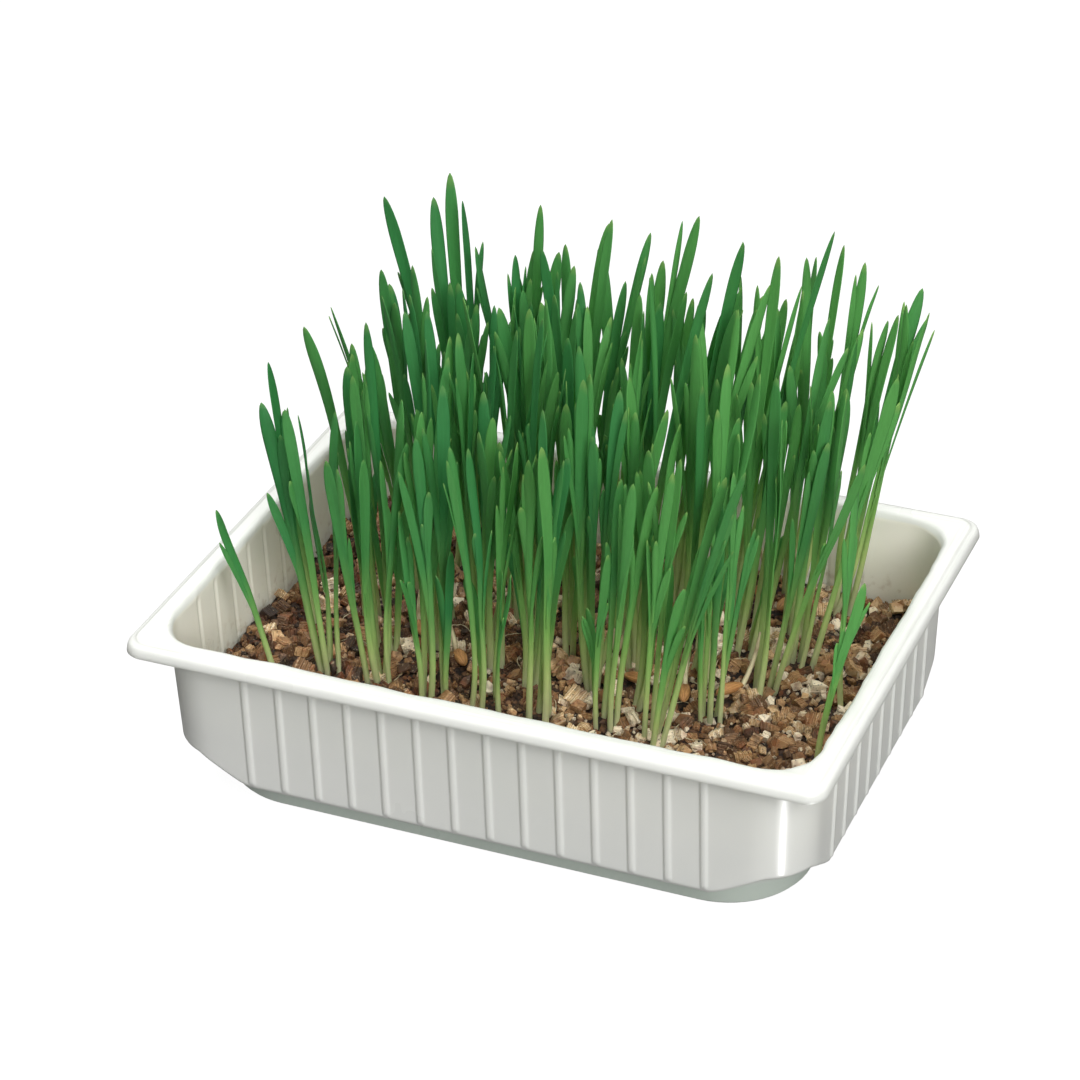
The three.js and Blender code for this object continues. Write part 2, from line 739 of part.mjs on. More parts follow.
function buildLoneShoot(seedling, number) {
  const blade = growShoot({
    tuft: `lone ${number}`,
    foot: axisAt(seedling, -CROWN.rootDepth),
    height: seedling.height,
    lean: seedling.lean,
    loose: LONE.loose,
    facing: LONE.facing,
    turn: LONE.turn,
    size: LONE.size,
  });
  return largestBody(crownSolid(seedling).add(blade));
}

// ---------------------------------------------------------------- assembly

const part = new THREE.Group();

function addPiece(name, solid, { colour, roughness }) {
  const material = new THREE.MeshStandardMaterial({ color: colour, roughness, metalness: 0 });
  const mesh = new THREE.Mesh(geometryFrom(solid), material);
  mesh.name = name;
  part.add(mesh);
}

const twoDigits = (number) => String(number).padStart(2, '0');

const seedlings = LONE_PLACES.map((place) => ({ ...place, scale: LONE.scale }));
const loneShoots = seedlings.map((seedling, k) => buildLoneShoot(seedling, k + 1));
const tufts = planTufts();
const tuftSolids = tufts.map((tuft, k) => buildTuft(tuft, k + 1));
const grains = GRAIN_PLACES.map((place) => grainSolid(place, 0));

const holes = [
  ...tufts.map(crownHole),
  ...seedlings.map(crownHole),
  ...GRAIN_PLACES.map((place) => grainSolid(place, BED.gap)),
];

addPiece('tray', buildTray(), FINISH.tray);
addPiece('vermiculite_bed', buildBed(holes), FINISH.bed);
tuftSolids.forEach((solid, k) => addPiece(`grass_tuft_${twoDigits(k + 1)}`, solid, FINISH.grass));
loneShoots.forEach((solid, k) => addPiece(`stray_shoot_${k + 1}`, solid, FINISH.grass));
grains.forEach((solid, k) => addPiece(`grain_${k + 1}`, solid, FINISH.grain));

export default part;
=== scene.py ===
"""Looks of a wheatgrass tray: formed white plastic, damp vermiculite, husked grains and young shoots.

Lengths are in metres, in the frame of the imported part: +Z up, +X along the tray, the floor at Z = 0.
"""

from __future__ import annotations

import json
import logging
import math
from dataclasses import dataclass, field
from enum import Enum
from typing import Any, Optional, Sequence, Union

import bpy
import numpy as np
from mathutils import Matrix, Vector
from mathutils.bvhtree import BVHTree

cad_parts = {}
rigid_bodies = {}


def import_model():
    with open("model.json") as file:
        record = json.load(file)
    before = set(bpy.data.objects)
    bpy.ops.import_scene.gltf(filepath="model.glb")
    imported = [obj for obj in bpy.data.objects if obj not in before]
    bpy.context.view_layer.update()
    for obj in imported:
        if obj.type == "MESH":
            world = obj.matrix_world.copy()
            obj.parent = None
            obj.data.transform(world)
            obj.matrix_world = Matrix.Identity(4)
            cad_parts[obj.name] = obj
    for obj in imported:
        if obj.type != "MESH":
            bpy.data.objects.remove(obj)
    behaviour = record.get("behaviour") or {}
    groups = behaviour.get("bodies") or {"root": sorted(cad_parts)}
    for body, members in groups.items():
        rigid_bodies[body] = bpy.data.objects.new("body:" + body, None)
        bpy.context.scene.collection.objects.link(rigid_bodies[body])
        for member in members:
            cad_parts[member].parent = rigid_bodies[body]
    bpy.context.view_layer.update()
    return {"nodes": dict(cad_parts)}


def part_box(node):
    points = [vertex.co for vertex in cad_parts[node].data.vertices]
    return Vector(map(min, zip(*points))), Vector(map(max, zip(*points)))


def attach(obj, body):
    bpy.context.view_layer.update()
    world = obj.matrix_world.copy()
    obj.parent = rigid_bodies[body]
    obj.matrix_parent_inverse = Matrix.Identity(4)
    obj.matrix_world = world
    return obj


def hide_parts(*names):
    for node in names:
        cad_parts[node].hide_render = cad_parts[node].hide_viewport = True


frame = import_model()

MM = 0.001
FULL_TURN = 6.2832
SEED = 20417

log = logging.getLogger("wheatgrass_tray")

Colour = tuple[int, int, int]
Curve = Sequence[tuple[float, float]]


# ---------------------------------------------------------------- small helpers


def paint(colour: Colour) -> tuple[float, float, float, float]:
    """Turns a display colour into the linear one that sockets take.

    Args:
        colour: red, green and blue from 0 to 255, as seen on a screen.

    Returns:
        The linear colour, with full alpha.
    """

    def linear(part: float) -> float:
        """One channel, from 0 to 1, without the screen's curve."""
        return part / 12.92 if part <= 0.04045 else ((part + 0.055) / 1.055) ** 2.4

    red, green, blue = (linear(part / 255) for part in colour)
    return red, green, blue, 1.0


def along_curve(curve: Curve, places: np.ndarray) -> np.ndarray:
    """Values of a curve through (place, value) points, eased from point to point.

    Args:
        curve: the points, in order of place.
        places: where the values are wanted.

    Returns:
        One value for each place.
    """
    at, value = np.array(curve, float).T
    slope = np.gradient(value, at)
    k = np.clip(np.searchsorted(at, places, side="right") - 1, 0, len(at) - 2)
    run = at[k + 1] - at[k]
    t = np.clip((places - at[k]) / run, 0, 1)
    rise = value[k + 1] - value[k]
    limit = 3 * rise / run
    start = np.where(slope[k] * rise > 0, np.sign(rise) * np.minimum(abs(slope[k]), abs(limit)), 0)
    stop = np.where(slope[k + 1] * rise > 0, np.sign(rise) * np.minimum(abs(slope[k + 1]), abs(limit)), 0)
    eased = (3 * t**2 - 2 * t**3) * rise
    return value[k] + eased + run * (start * (t**3 - 2 * t**2 + t) + stop * (t**3 - t**2))


def smooth_step(low: float, high: float, value: np.ndarray) -> np.ndarray:
    """0 below low, 1 above high and an eased rise between them."""
    t = np.clip((value - low) / (high - low), 0, 1)
    return t * t * (3 - 2 * t)


def unit(vectors: np.ndarray) -> np.ndarray:
    """The same vectors with a length of 1."""
    return vectors / np.linalg.norm(vectors, axis=-1, keepdims=True)


def line_of_sight(azimuth: float, elevation: float) -> Vector:
    """The direction towards a point seen from the tray.

    Args:
        azimuth: degrees from the front towards the right.
        elevation: degrees above the floor.

    Returns:
        The direction, with a length of 1.
    """
    az, el = math.radians(azimuth), math.radians(elevation)
    return Vector((math.sin(az) * math.cos(el), -math.cos(az) * math.cos(el), math.sin(el)))


def side_directions(side: int) -> tuple[np.ndarray, np.ndarray]:
    """Directions of one of the tray's four sides, counted from the front towards the right.

    Args:
        side: the side, from 0 to 3.

    Returns:
        The outward direction and the one along the side, in plan.
    """
    angle = math.radians(-90 + 90 * side)
    normal = np.array([math.cos(angle), math.sin(angle)])
    return normal, np.array([-normal[1], normal[0]])


def ring_faces(rings: int, count: int, ends: bool = True) -> list[tuple[int, ...]]:
    """Faces of a skin over closed rings of points, each ring above the one before it.

    Args:
        rings: number of rings.
        count: points on each ring.
        ends: whether the first and the last ring are filled too.

    Returns:
        The vertex numbers of each face.
    """
    faces: list[tuple[int, ...]] = []
    for low in range(0, (rings - 1) * count, count):
        high = low + count
        for k in range(count):
            after = (k + 1) % count
            faces.append((low + k, low + after, high + after, high + k))
    if ends:
        faces.append(tuple(reversed(range(count))))
        faces.append(tuple(range((rings - 1) * count, rings * count)))
    return faces


def line_edges(lines: int, count: int) -> list[tuple[int, int]]:
    """Edges of open lines with the same number of points, one line after the other."""
    return [(a + k, a + k + 1) for a in range(0, lines * count, count) for k in range(count - 1)]


def in_scene(name: str, data: bpy.types.ID) -> bpy.types.Object:
    """Makes an object and puts it into the scene.

    Args:
        name: its name.
        data: its mesh, lamp or camera.

    Returns:
        The object, at the origin.
    """
    made = bpy.data.objects.new(name, data)
    bpy.context.scene.collection.objects.link(made)
    return made


def new_mesh(
    name: str, points: np.ndarray, faces: Sequence[tuple] = (), edges: Sequence[tuple] = ()
) -> bpy.types.Mesh:
    """Makes a mesh.

    Args:
        name: its name.
        points: one row for each vertex.
        faces: vertex numbers of each face.
        edges: vertex numbers of each edge, where it has no faces.

    Returns:
        The mesh.
    """
    mesh = bpy.data.meshes.new(name)
    mesh.from_pydata(points.tolist(), edges, faces)
    return mesh


def add_values(mesh: bpy.types.Mesh, name: str, values: np.ndarray) -> None:
    """Stores numbers or vectors on the vertices of a mesh.

    Args:
        mesh: the mesh.
        name: the attribute's name.
        values: one number or one vector for each vertex.
    """
    kind, key = ("FLOAT_VECTOR", "vector") if values.ndim == 2 else ("FLOAT", "value")
    layer = mesh.attributes.new(name, kind, "POINT")
    layer.data.foreach_set(key, np.ascontiguousarray(values, np.float32).ravel())


def finish_piece(
    piece: bpy.types.Object,
    replaced: Sequence[str],
    material: Optional[bpy.types.Material] = None,
    smooth: bool = True,
) -> bpy.types.Object:
    """Dresses a finished piece and ties it to the frame.

    Args:
        piece: the piece, in place.
        replaced: the CAD nodes that it stands for.
        material: its finish, where it doesn't carry one yet.
        smooth: whether its faces are shaded smooth.

    Returns:
        The piece.
    """
    if material is not None:
        piece.data.materials.clear()
        piece.data.materials.append(material)
    piece.data.polygons.foreach_set("use_smooth", [smooth] * len(piece.data.polygons))
    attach(piece, "root")
    if replaced:
        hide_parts(*replaced)
    log.info("%s: %d faces", piece.name, len(piece.data.polygons))
    return piece


# ---------------------------------------------------------------- node trees

Operand = Union["Wire", float]


class Wire:
    """An output socket of a node, with arithmetic that adds Math nodes."""

    def __init__(self, graph: "Graph", socket: bpy.types.NodeSocket) -> None:
        """Wraps one socket of a graph."""
        self.graph = graph
        self.socket = socket

    def also(self, name: str) -> "Wire":
        """Another output of the same node, by name."""
        return Wire(self.graph, self.socket.node.outputs[name])

    def _math(self, operation: str, first: Operand, second: Operand = 0.0) -> "Wire":
        """Adds one Math node.

        Args:
            operation: the node's operation.
            first: its first value.
            second: its second value.

        Returns:
            The node's output.
        """
        return self.graph.node("ShaderNodeMath", {"operation": operation}, {0: first, 1: second})

    def __add__(self, other: Operand) -> "Wire":
        """self + other"""
        return self._math("ADD", self, other)

    __radd__ = __add__

    def __sub__(self, other: Operand) -> "Wire":
        """self - other"""
        return self._math("SUBTRACT", self, other)

    def __rsub__(self, other: Operand) -> "Wire":
        """other - self"""
        return self._math("SUBTRACT", other, self)

    def __mul__(self, other: Operand) -> "Wire":
        """self * other"""
        return self._math("MULTIPLY", self, other)

    __rmul__ = __mul__

    def __truediv__(self, other: Operand) -> "Wire":
        """self / other"""
        return self._math("DIVIDE", self, other)

    def __pow__(self, other: Operand) -> "Wire":
        """self ** other"""
        return self._math("POWER", self, other)

    def __abs__(self) -> "Wire":
        """abs(self)"""
        return self._math("ABSOLUTE", self)

    def sine(self) -> "Wire":
        """Sine of the value."""
        return self._math("SINE", self)

    def least(self, other: Operand) -> "Wire":
        """The smaller of two values."""
        return self._math("MINIMUM", self, other)

    def most(self, other: Operand) -> "Wire":
        """The larger of two values."""
        return self._math("MAXIMUM", self, other)

    def rounded(self) -> "Wire":
        """The nearest whole number."""
        return self._math("ROUND", self)

    def between(self, low: Operand, high: Operand, start: float = 0.0, stop: float = 1.0) -> "Wire":
        """Eases from start to stop as the value goes from low to high.

        Args:
            low: the value that gives start.
            high: the value that gives stop.
            start: the result at low and below.
            stop: the result at high and above.

        Returns:
            The eased value.
        """
        sockets = {"Value": self, "From Min": low, "From Max": high, "To Min": start, "To Max": stop}
        return self.graph.node("ShaderNodeMapRange", {"interpolation_type": "SMOOTHSTEP"}, sockets)


class Graph:
    """A node tree under construction."""

    def __init__(self, tree: bpy.types.NodeTree) -> None:
        """Starts on an empty tree."""
        self.tree = tree

    def node(
        self,
        kind: str,
        settings: Optional[dict[str, Any]] = None,
        sockets: Optional[dict[Union[str, int], Any]] = None,
        output: Union[str, int] = 0,
    ) -> Wire:
        """Adds a node, sets it up and links it.

        Args:
            kind: the node's type.
            settings: its properties, set first; "stops" gives a colour ramp's places and colours.
            sockets: a value or a wire for each input, by name or number.
            output: the output to return.

        Returns:
            The chosen output.
        """
        made = self.tree.nodes.new(kind)
        for key, value in (settings or {}).items():
            if key == "stops":
                self._set_stops(made.color_ramp, value)
            else:
                setattr(made, key, value)
        for key, value in (sockets or {}).items():
            self.plug(made.inputs[key], value)
        return Wire(self, made.outputs[output]) if len(made.outputs) else Wire(self, made.inputs[0])

    def plug(self, socket: bpy.types.NodeSocket, value: Any) -> None:
        """Links a wire to an input, or sets the input's own value.

        Args:
            socket: the input.
            value: the wire, or the value.
        """
        if isinstance(value, Wire):
            self.tree.links.new(value.socket, socket)
        else:
            socket.default_value = value

    def parts(self, vector: Wire) -> tuple[Wire, Wire, Wire]:
        """The X, Y and Z of a vector."""
        x = self.node("ShaderNodeSeparateXYZ", sockets={0: vector})
        return x, x.also("Y"), x.also("Z")

    def vector_math(self, operation: str, first: Any, second: Any) -> Wire:
        """A Vector Math node; SCALE takes a number second."""
        sockets = {0: first, ("Scale" if operation == "SCALE" else 1): second}
        return self.node("ShaderNodeVectorMath", {"operation": operation}, sockets)

    @staticmethod
    def _set_stops(ramp: bpy.types.ColorRamp, stops: Sequence[tuple[float, Colour]]) -> None:
        """Gives a colour ramp its stops.

        Args:
            ramp: the ramp.
            stops: the place and the display colour of each stop.
        """
        while len(ramp.elements) < len(stops):
            ramp.elements.new(0.5)
        for element, (place, colour) in zip(ramp.elements, stops):
            element.position = place
            element.color = paint(colour)


class Shader(Graph):
    """The node tree of one material, around a Principled shader."""

    def __init__(self, name: str) -> None:
        """Makes the material with an empty tree.

        Args:
            name: the material's name.
        """
        self.material = bpy.data.materials.new(name)
        self.material.use_nodes = True
        self.material.node_tree.nodes.clear()
        super().__init__(self.material.node_tree)
        self.place = self.node("ShaderNodeTexCoord", output="Object")

    def attribute(self, name: str, output: str = "Vector") -> Wire:
        """A value that is stored on the mesh under this name."""
        return self.node("ShaderNodeAttribute", {"attribute_name": name}, output=output)

    def noise(
        self, scale: float, detail: float = 2.0, place: Optional[Wire] = None, rough: float = 0.5
    ) -> Wire:
        """A noise from 0 to 1.

        Args:
            scale: bumps for each metre, or for each unit of place.
            detail: number of finer layers.
            place: the vector that it is read at, or the object's own coordinates.
            rough: strength of the finer layers.

        Returns:
            The noise value.
        """
        sockets = {"Vector": place or self.place, "Scale": scale, "Detail": detail, "Roughness": rough}
        return self.node("ShaderNodeTexNoise", sockets=sockets)

    def stretched(self, scale: tuple[float, float, float], place: Optional[Wire] = None) -> Wire:
        """Coordinates that are scaled by a different amount along each axis."""
        return self.node("ShaderNodeMapping", sockets={"Vector": place or self.place, "Scale": scale})

    def blend(self, factor: Operand, first: Any, second: Any) -> Wire:
        """Mixes two colours.

        Args:
            factor: share of the second colour.
            first: a wire, or a display colour.
            second: a wire, or a display colour.

        Returns:
            The mixed colour.
        """
        ends = [value if isinstance(value, Wire) else paint(value) for value in (first, second)]
        sockets = {0: factor, 6: ends[0], 7: ends[1]}
        return self.node("ShaderNodeMix", {"data_type": "RGBA"}, sockets, output=2)

    def ramp(self, factor: Wire, stops: Sequence[tuple[float, Colour]]) -> Wire:
        """A colour that follows a value through several stops."""
        return self.node("ShaderNodeValToRGB", {"stops": stops}, {"Fac": factor})

    def shade(self, colour: Wire, light: Wire) -> Wire:
        """Makes a colour lighter or darker by a factor."""
        return self.vector_math("SCALE", colour, light)

    def bump(
        self, height: Wire, distance: float, strength: float = 1.0, over: Optional[Wire] = None
    ) -> Wire:
        """Raises the surface by a height.

        Args:
            height: the height, from 0 to 1.
            distance: what a height of 1 stands for, in metres.
            strength: share of the effect.
            over: a bump that this one lies on.

        Returns:
            The normal.
        """
        sockets = {"Height": height, "Distance": distance, "Strength": strength}
        if over is not None:
            sockets["Normal"] = over
        return self.node("ShaderNodeBump", sockets=sockets)

    def principled(self, sockets: dict[str, Any]) -> Wire:
        """A Principled shader with these inputs."""
        return self.node("ShaderNodeBsdfPrincipled", sockets=sockets)

    def done(self, surface: Wire) -> bpy.types.Material:
        """Links the surface to the output and gives the material."""
        self.node("ShaderNodeOutputMaterial", sockets={"Surface": surface})
        return self.material

    def sheer(self, surface: Wire, passed: Colour, share: float) -> bpy.types.Material:
        """Finishes the material of a thin skin that lets some light through.

        Args:
            surface: the shader of its surface.
            passed: the colour of the light that comes through.
            share: how much of the skin passes light.

        Returns:
            The material.
        """
        through = self.node("ShaderNodeBsdfTranslucent", sockets={"Color": paint(passed)})
        return self.done(self.node("ShaderNodeMixShader", sockets={0: share, 1: surface, 2: through}))


class Recipe(Graph):
    """A geometry node tree with named inputs, which is run on a mesh and gives a plain mesh."""

    def __init__(self, name: str, inputs: dict[str, tuple[str, Any]]) -> None:
        """Makes the tree.

        Args:
            name: the tree's name.
            inputs: for each named input its socket type and its usual value. The mesh and the
                material are inputs of every tree.
        """
        super().__init__(bpy.data.node_groups.new(name, "GeometryNodeTree"))
        sockets = self.tree.interface
        sockets.new_socket("Geometry", in_out="INPUT", socket_type="NodeSocketGeometry")
        for title, (kind, usual) in inputs.items():
            socket = sockets.new_socket(title, in_out="INPUT", socket_type=kind)
            if usual is not None:
                socket.default_value = usual
        sockets.new_socket("Material", in_out="INPUT", socket_type="NodeSocketMaterial")
        sockets.new_socket("Geometry", in_out="OUTPUT", socket_type="NodeSocketGeometry")
        self.given = self.node("NodeGroupInput")

    def input(self, name: str) -> Wire:
        """One of the tree's inputs."""
        return self.given.also(name)

    def stored(self, name: str, kind: str = "FLOAT_VECTOR") -> Wire:
        """A value that is stored on the mesh under this name."""
        return self.node("GeometryNodeInputNamedAttribute", {"data_type": kind}, {"Name": name})

    def store(
        self, geometry: Wire, name: str, value: Wire, kind: str = "FLOAT_VECTOR", domain: str = "POINT"
    ) -> Wire:
        """Stores a value on the geometry.

        Args:
            geometry: what it is stored on.
            name: the attribute's name.
            value: the value.
            kind: its data type.
            domain: whether it belongs to points or to instances.

        Returns:
            The geometry with the value.
        """
        settings = {"data_type": kind, "domain": domain}
        sockets = {"Geometry": geometry, "Name": name, "Value": value}
        return self.node("GeometryNodeStoreNamedAttribute", settings, sockets)

    def circle(self, points: str) -> Wire:
        """A circle of radius 1, with as many points as the input of this name says."""
        sockets = {"Resolution": self.input(points), "Radius": 1.0}
        return self.node("GeometryNodeCurvePrimitiveCircle", sockets=sockets)

    def swept(self, sockets: dict[str, Any]) -> Wire:
        """A closed skin that a profile curve leaves along the edges of the mesh."""
        line = self.node("GeometryNodeMeshToCurve", sockets={"Mesh": self.input("Geometry")})
        return self.node("GeometryNodeCurveToMesh", sockets={"Curve": line, "Fill Caps": True, **sockets})

    def close(self, geometry: Wire) -> None:
        """Ends the tree: instances made real, and the material set.

        Args:
            geometry: what the tree has made.
        """
        real = self.node("GeometryNodeRealizeInstances", sockets={"Geometry": geometry})
        sockets = {"Geometry": real, "Material": self.input("Material")}
        dressed = self.node("GeometryNodeSetMaterial", sockets=sockets)
        self.node("NodeGroupOutput", sockets={0: dressed})

    def run(
        self,
        start: bpy.types.Mesh,
        name: str,
        material: bpy.types.Material,
        values: Optional[dict[str, Any]] = None,
    ) -> bpy.types.Object:
        """Runs the tree on a mesh.

        Args:
            start: the mesh that the tree starts from.
            name: the name of the object that is made.
            material: the finish of its faces.
            values: the values of the named inputs.

        Returns:
            A new object with the plain mesh.
        """
        host = in_scene(start.name, start)
        modifier = host.modifiers.new(name, "NODES")
        modifier.node_group = self.tree
        given = {"Material": material, **(values or {})}
        for item in self.tree.interface.items_tree:
            if item.in_out == "INPUT" and item.name in given:
                modifier[item.identifier] = given[item.name]
        bpy.context.view_layer.update()
        graph = bpy.context.evaluated_depsgraph_get()
        settled = host.evaluated_get(graph)
        mesh = bpy.data.meshes.new_from_object(settled, preserve_all_data_layers=True, depsgraph=graph)
        host.modifiers.remove(modifier)
        bpy.data.objects.remove(host)
        mesh.name = name
        return in_scene(name, mesh)


# ---------------------------------------------------------------- finishes


@dataclass(frozen=True)
class FormedPlastic:
    """White sheet plastic with a satin gloss, faint draw lines and dust from the bed on the inside. Its
    inner faces carry painted light, a lighter and warmer white, and its foot painted shade, a darker
    greenish white.
    """

    colour: Colour = (242, 244, 242)
    shaded: Colour = (231, 235, 232)
    # inner: painted light, a lighter and warmer white that stands in for the light on the inner faces.
    inner: Colour = (253, 251, 240)
    streak: Colour = (200, 204, 190)
    # foot: painted shade, a darker greenish white for the band near the floor.
    foot: Colour = (222, 234, 225)
    dust: Colour = (166, 140, 108)
    passed: Colour = (250, 248, 236)
    see_through: float = 0.2
    roughness: float = 0.24
    foot_shade_level: tuple[float, float] = (5 * MM, 9 * MM)
    dust_level: tuple[float, float] = (25 * MM, 36 * MM)
    top_level: tuple[float, float] = (48.9 * MM, 49.6 * MM)
    long_by: float = 25 * MM

    def material(self) -> bpy.types.Material:
        """Builds the material.

        Returns:
            The material of the tray.
        """
        s = Shader("formed_white_plastic")
        across, along, height = s.parts(s.place)
        clouds = s.noise(38, detail=3)
        base = s.blend(clouds.between(0.35, 0.75) * 0.35, self.colour, self.shaded)
        *_, face = s.parts(s.attribute("rib_place"))
        inside = (face * -1.0).most(0.0)
        near_bed = height.between(*self.dust_level, 1.0, 0.0)
        # Painted light: the inner faces blend to a lighter, warmer white than the outer ones.
        base = s.blend(inside * 0.9, base, self.inner)
        edge = (abs(across) - self.long_by).most(abs(along)) * 1500.0
        run = s.node("ShaderNodeCombineXYZ", sockets={"X": edge, "Y": (across + along) * 26.0})
        streaks = s.noise(1, detail=4, place=run, rough=0.6).between(0.46, 0.7)
        base = s.blend(streaks * height.between(*self.top_level) * 0.3, base, self.streak)
        # Painted shade: the foot band near the floor blends to a darker greenish white.
        base = s.blend(height.between(*self.foot_shade_level, 1.0, 0.0), base, self.foot)
        specks = s.noise(420, detail=4).between(0.48, 0.72)
        smudge = near_bed * inside * specks * 0.4
        colour = s.blend(smudge, base, self.dust)
        lines = s.noise(1, detail=2, place=s.stretched((900, 900, 14)))
        waves = s.noise(26, detail=1)
        skin = s.noise(1500, detail=1)
        normal = s.bump(waves, 0.5 * MM, 0.5)
        normal = s.bump(lines, 0.018 * MM, 0.6, over=normal)
        normal = s.bump(skin, 0.006 * MM, 0.5, over=normal)
        roughness = self.roughness + clouds * 0.1 + smudge * 0.5
        sheet = s.principled(
            {
                "Base Color": colour,
                "Roughness": roughness,
                "IOR": 1.52,
                "Normal": normal,
            }
        )
        return s.sheer(sheet, self.passed, self.see_through)


@dataclass(frozen=True)
class YoungLeaf:
    """A cereal leaf: pale stalk, saturated blade, faint lengthwise veins and a paler point."""

    fresh: tuple[tuple[float, Colour], ...] = (
        (0.0, (232, 230, 194)),
        (0.08, (216, 222, 166)),
        (0.2, (194, 214, 136)),
        (0.36, (146, 198, 106)),
        (0.6, (102, 178, 94)),
        (0.97, (106, 180, 96)),
        (1.0, (150, 196, 108)),
    )
    deep: tuple[tuple[float, Colour], ...] = (
        (0.0, (222, 222, 184)),
        (0.08, (202, 212, 152)),
        (0.2, (172, 202, 124)),
        (0.38, (106, 166, 92)),
        (0.62, (58, 138, 80)),
        (0.97, (62, 138, 80)),
        (1.0, (106, 160, 92)),
    )
    passed: Colour = (118, 187, 90)
    veins: float = 30.0
    roughness: float = 0.42
    see_through: float = 0.32

    def material(self) -> bpy.types.Material:
        """Builds the material.

        Returns:
            The material of the leaves. It reads the place on the leaf from the leaf_place attribute:
            across from -1 to 1, along from 0 to 1, and the leaf's tone: its own random number plus painted
            light that makes leaves lighter towards the right of the bed.
        """
        s = Shader("young_leaf")
        across, along, tone = s.parts(s.attribute("leaf_place"))
        blotches = s.noise(1, detail=3, place=s.stretched((160, 160, 34)))
        shift = along + (blotches - 0.5) * 0.1
        fresh, deep = s.ramp(shift, self.fresh), s.ramp(shift, self.deep)
        share = (tone + (blotches - 0.5) * 0.35).between(0.0, 1.0)
        colour = s.blend(share, fresh, deep)
        ridges = (across * self.veins).sine() * 0.5 + 0.5
        middle = abs(across).between(0.0, 0.16, 1.0, 0.0)
        edge = abs(across).between(0.82, 1.0)
        light = 0.95 + ridges * 0.04 + middle * 0.06 + edge * 0.1
        lines = s.noise(1, detail=2, place=s.stretched((2600, 2600, 40)))
        colour = s.shade(colour, light * (0.8 + lines * 0.3 + blotches * 0.12))
        normal = s.bump(ridges * 0.6 + lines * 0.4, 0.03 * MM, 0.6)
        roughness = self.roughness + lines * 0.12 - middle * 0.05
        body = s.principled(
            {
                "Base Color": colour,
                "Roughness": roughness,
                "IOR": 1.42,
                "Specular IOR Level": 0.42,
                "Normal": normal,
            }
        )
        return s.sheer(body, self.passed, self.see_through)


@dataclass(frozen=True)
class MicaFlakes:
    """Damp vermiculite: layered grains from near black through rust and tan to cream, with painted light:
    lighter towards the right, a painted shadow at the back right and painted shade in pits.
    """

    stops: tuple[tuple[float, Colour], ...] = (
        (0.0, (46, 33, 23)),
        (0.18, (88, 62, 42)),
        (0.4, (128, 93, 62)),
        (0.58, (162, 122, 82)),
        (0.74, (196, 156, 110)),
        (0.88, (224, 194, 150)),
        (1.0, (248, 233, 206)),
    )
    glint: Colour = (232, 208, 172)
    # pit: painted shade in the granules' pits.
    pit_shade: Colour = (44, 30, 22)
    rust: Colour = (158, 88, 50)
    soaked: Colour = (50, 34, 26)
    roughness: float = 0.55

    def material(self) -> bpy.types.Material:
        """Builds the material.

        Returns:
            The material of the granules. It reads each granule's own random number from flake_tone and
            the place inside the granule, with its layers along Z, from flake_place.
        """
        s = Shader("mica_flakes")
        place = s.attribute("flake_place")
        tone = s.attribute("flake_tone", "Fac")
        layers = s.noise(1, detail=3, place=s.stretched((0.6, 0.6, 7.5), place), rough=0.7)
        mottle = s.noise(1300, detail=4, rough=0.6)
        *_, sheets = s.parts(place)
        stripes = (sheets * 60.0 + mottle * 5.0).sine() * 0.5 + 0.5
        x, y, _ = s.parts(s.place)
        # Painted light: the granules grade lighter towards the right, and darker in a painted shadow at the
        # back right.
        far_right_painted_shadow = x.between(0.0, 40 * MM) * y.between(15 * MM, 50 * MM)
        side = (x * 4.2).least(0.1) - far_right_painted_shadow * 0.2
        grade = tone * 1.34 - 0.015 + side + (mottle - 0.5) * 0.4
        grade = grade + (layers - 0.5) * 0.3 + (stripes - 0.5) * 0.17
        colour = s.ramp(grade, self.stops)
        glint = s.noise(1500, detail=2).between(0.58, 0.7)
        colour = s.blend(glint * 0.36, colour, self.glint)
        # Painted shade: dark spots stand in for shade in pits.
        pit_shade_mask = s.noise(1150, detail=2, place=s.stretched((1.0, 1.0, 1.3))).between(0.3, 0.42, 1.0, 0.0)
        colour = s.blend(pit_shade_mask * 0.6, colour, self.pit_shade)
        rust = s.noise(240, detail=2).between(0.5, 0.7) * 0.44
        colour = s.blend(rust, colour, self.rust)
        soaked = s.noise(170, detail=2, rough=0.6).between(0.53, 0.66) * 0.5
        colour = s.blend(soaked, colour, self.soaked)
        normal = s.bump(layers * 0.6 + stripes * 0.4, 0.35 * MM, 0.9)
        normal = s.bump(mottle, 0.25 * MM, 0.9, over=normal)
        roughness = self.roughness + (mottle - 0.5) * 0.5 - glint * 0.2
        return s.done(s.principled({"Base Color": colour, "Roughness": roughness, "Normal": normal}))


@dataclass(frozen=True)
class DampBed:
    """The dark, wet fines that show between the granules, with painted shade in the gaps between their
    crumbs.
    """

    # gap: painted shade in the gaps between crumbs.
    gap: Colour = (34, 24, 18)
    stops: tuple[tuple[float, Colour], ...] = (
        (0.0, (52, 36, 27)),
        (0.45, (92, 64, 45)),
        (0.8, (132, 96, 66)),
        (1.0, (172, 136, 98)),
    )

    def material(self) -> bpy.types.Material:
        """Builds the material.

        Returns:
            The material of the bed under its granules.
        """
        s = Shader("damp_bed")
        grit = s.noise(900, detail=5, rough=0.7)
        sockets = {"Vector": s.place, "Scale": 620.0, "Randomness": 1.0}
        crumbs = s.node("ShaderNodeTexVoronoi", sockets=sockets)
        # Painted shade: the edges of each crumb cell blend to the dark gap colour.
        middle = crumbs.between(0.35, 0.8, 1.0, 0.0)
        tone = s.node("ShaderNodeSeparateColor", sockets={0: crumbs.also("Color")})
        colour = s.blend(middle, self.gap, s.ramp(tone * 0.8 + (grit - 0.5) * 0.8, self.stops))
        normal = s.bump(middle * 0.7 + grit * 0.3, 0.9 * MM)
        sockets = {"Base Color": colour, "Roughness": 0.6 + grit * 0.3, "Normal": normal}
        return s.done(s.principled(sockets))


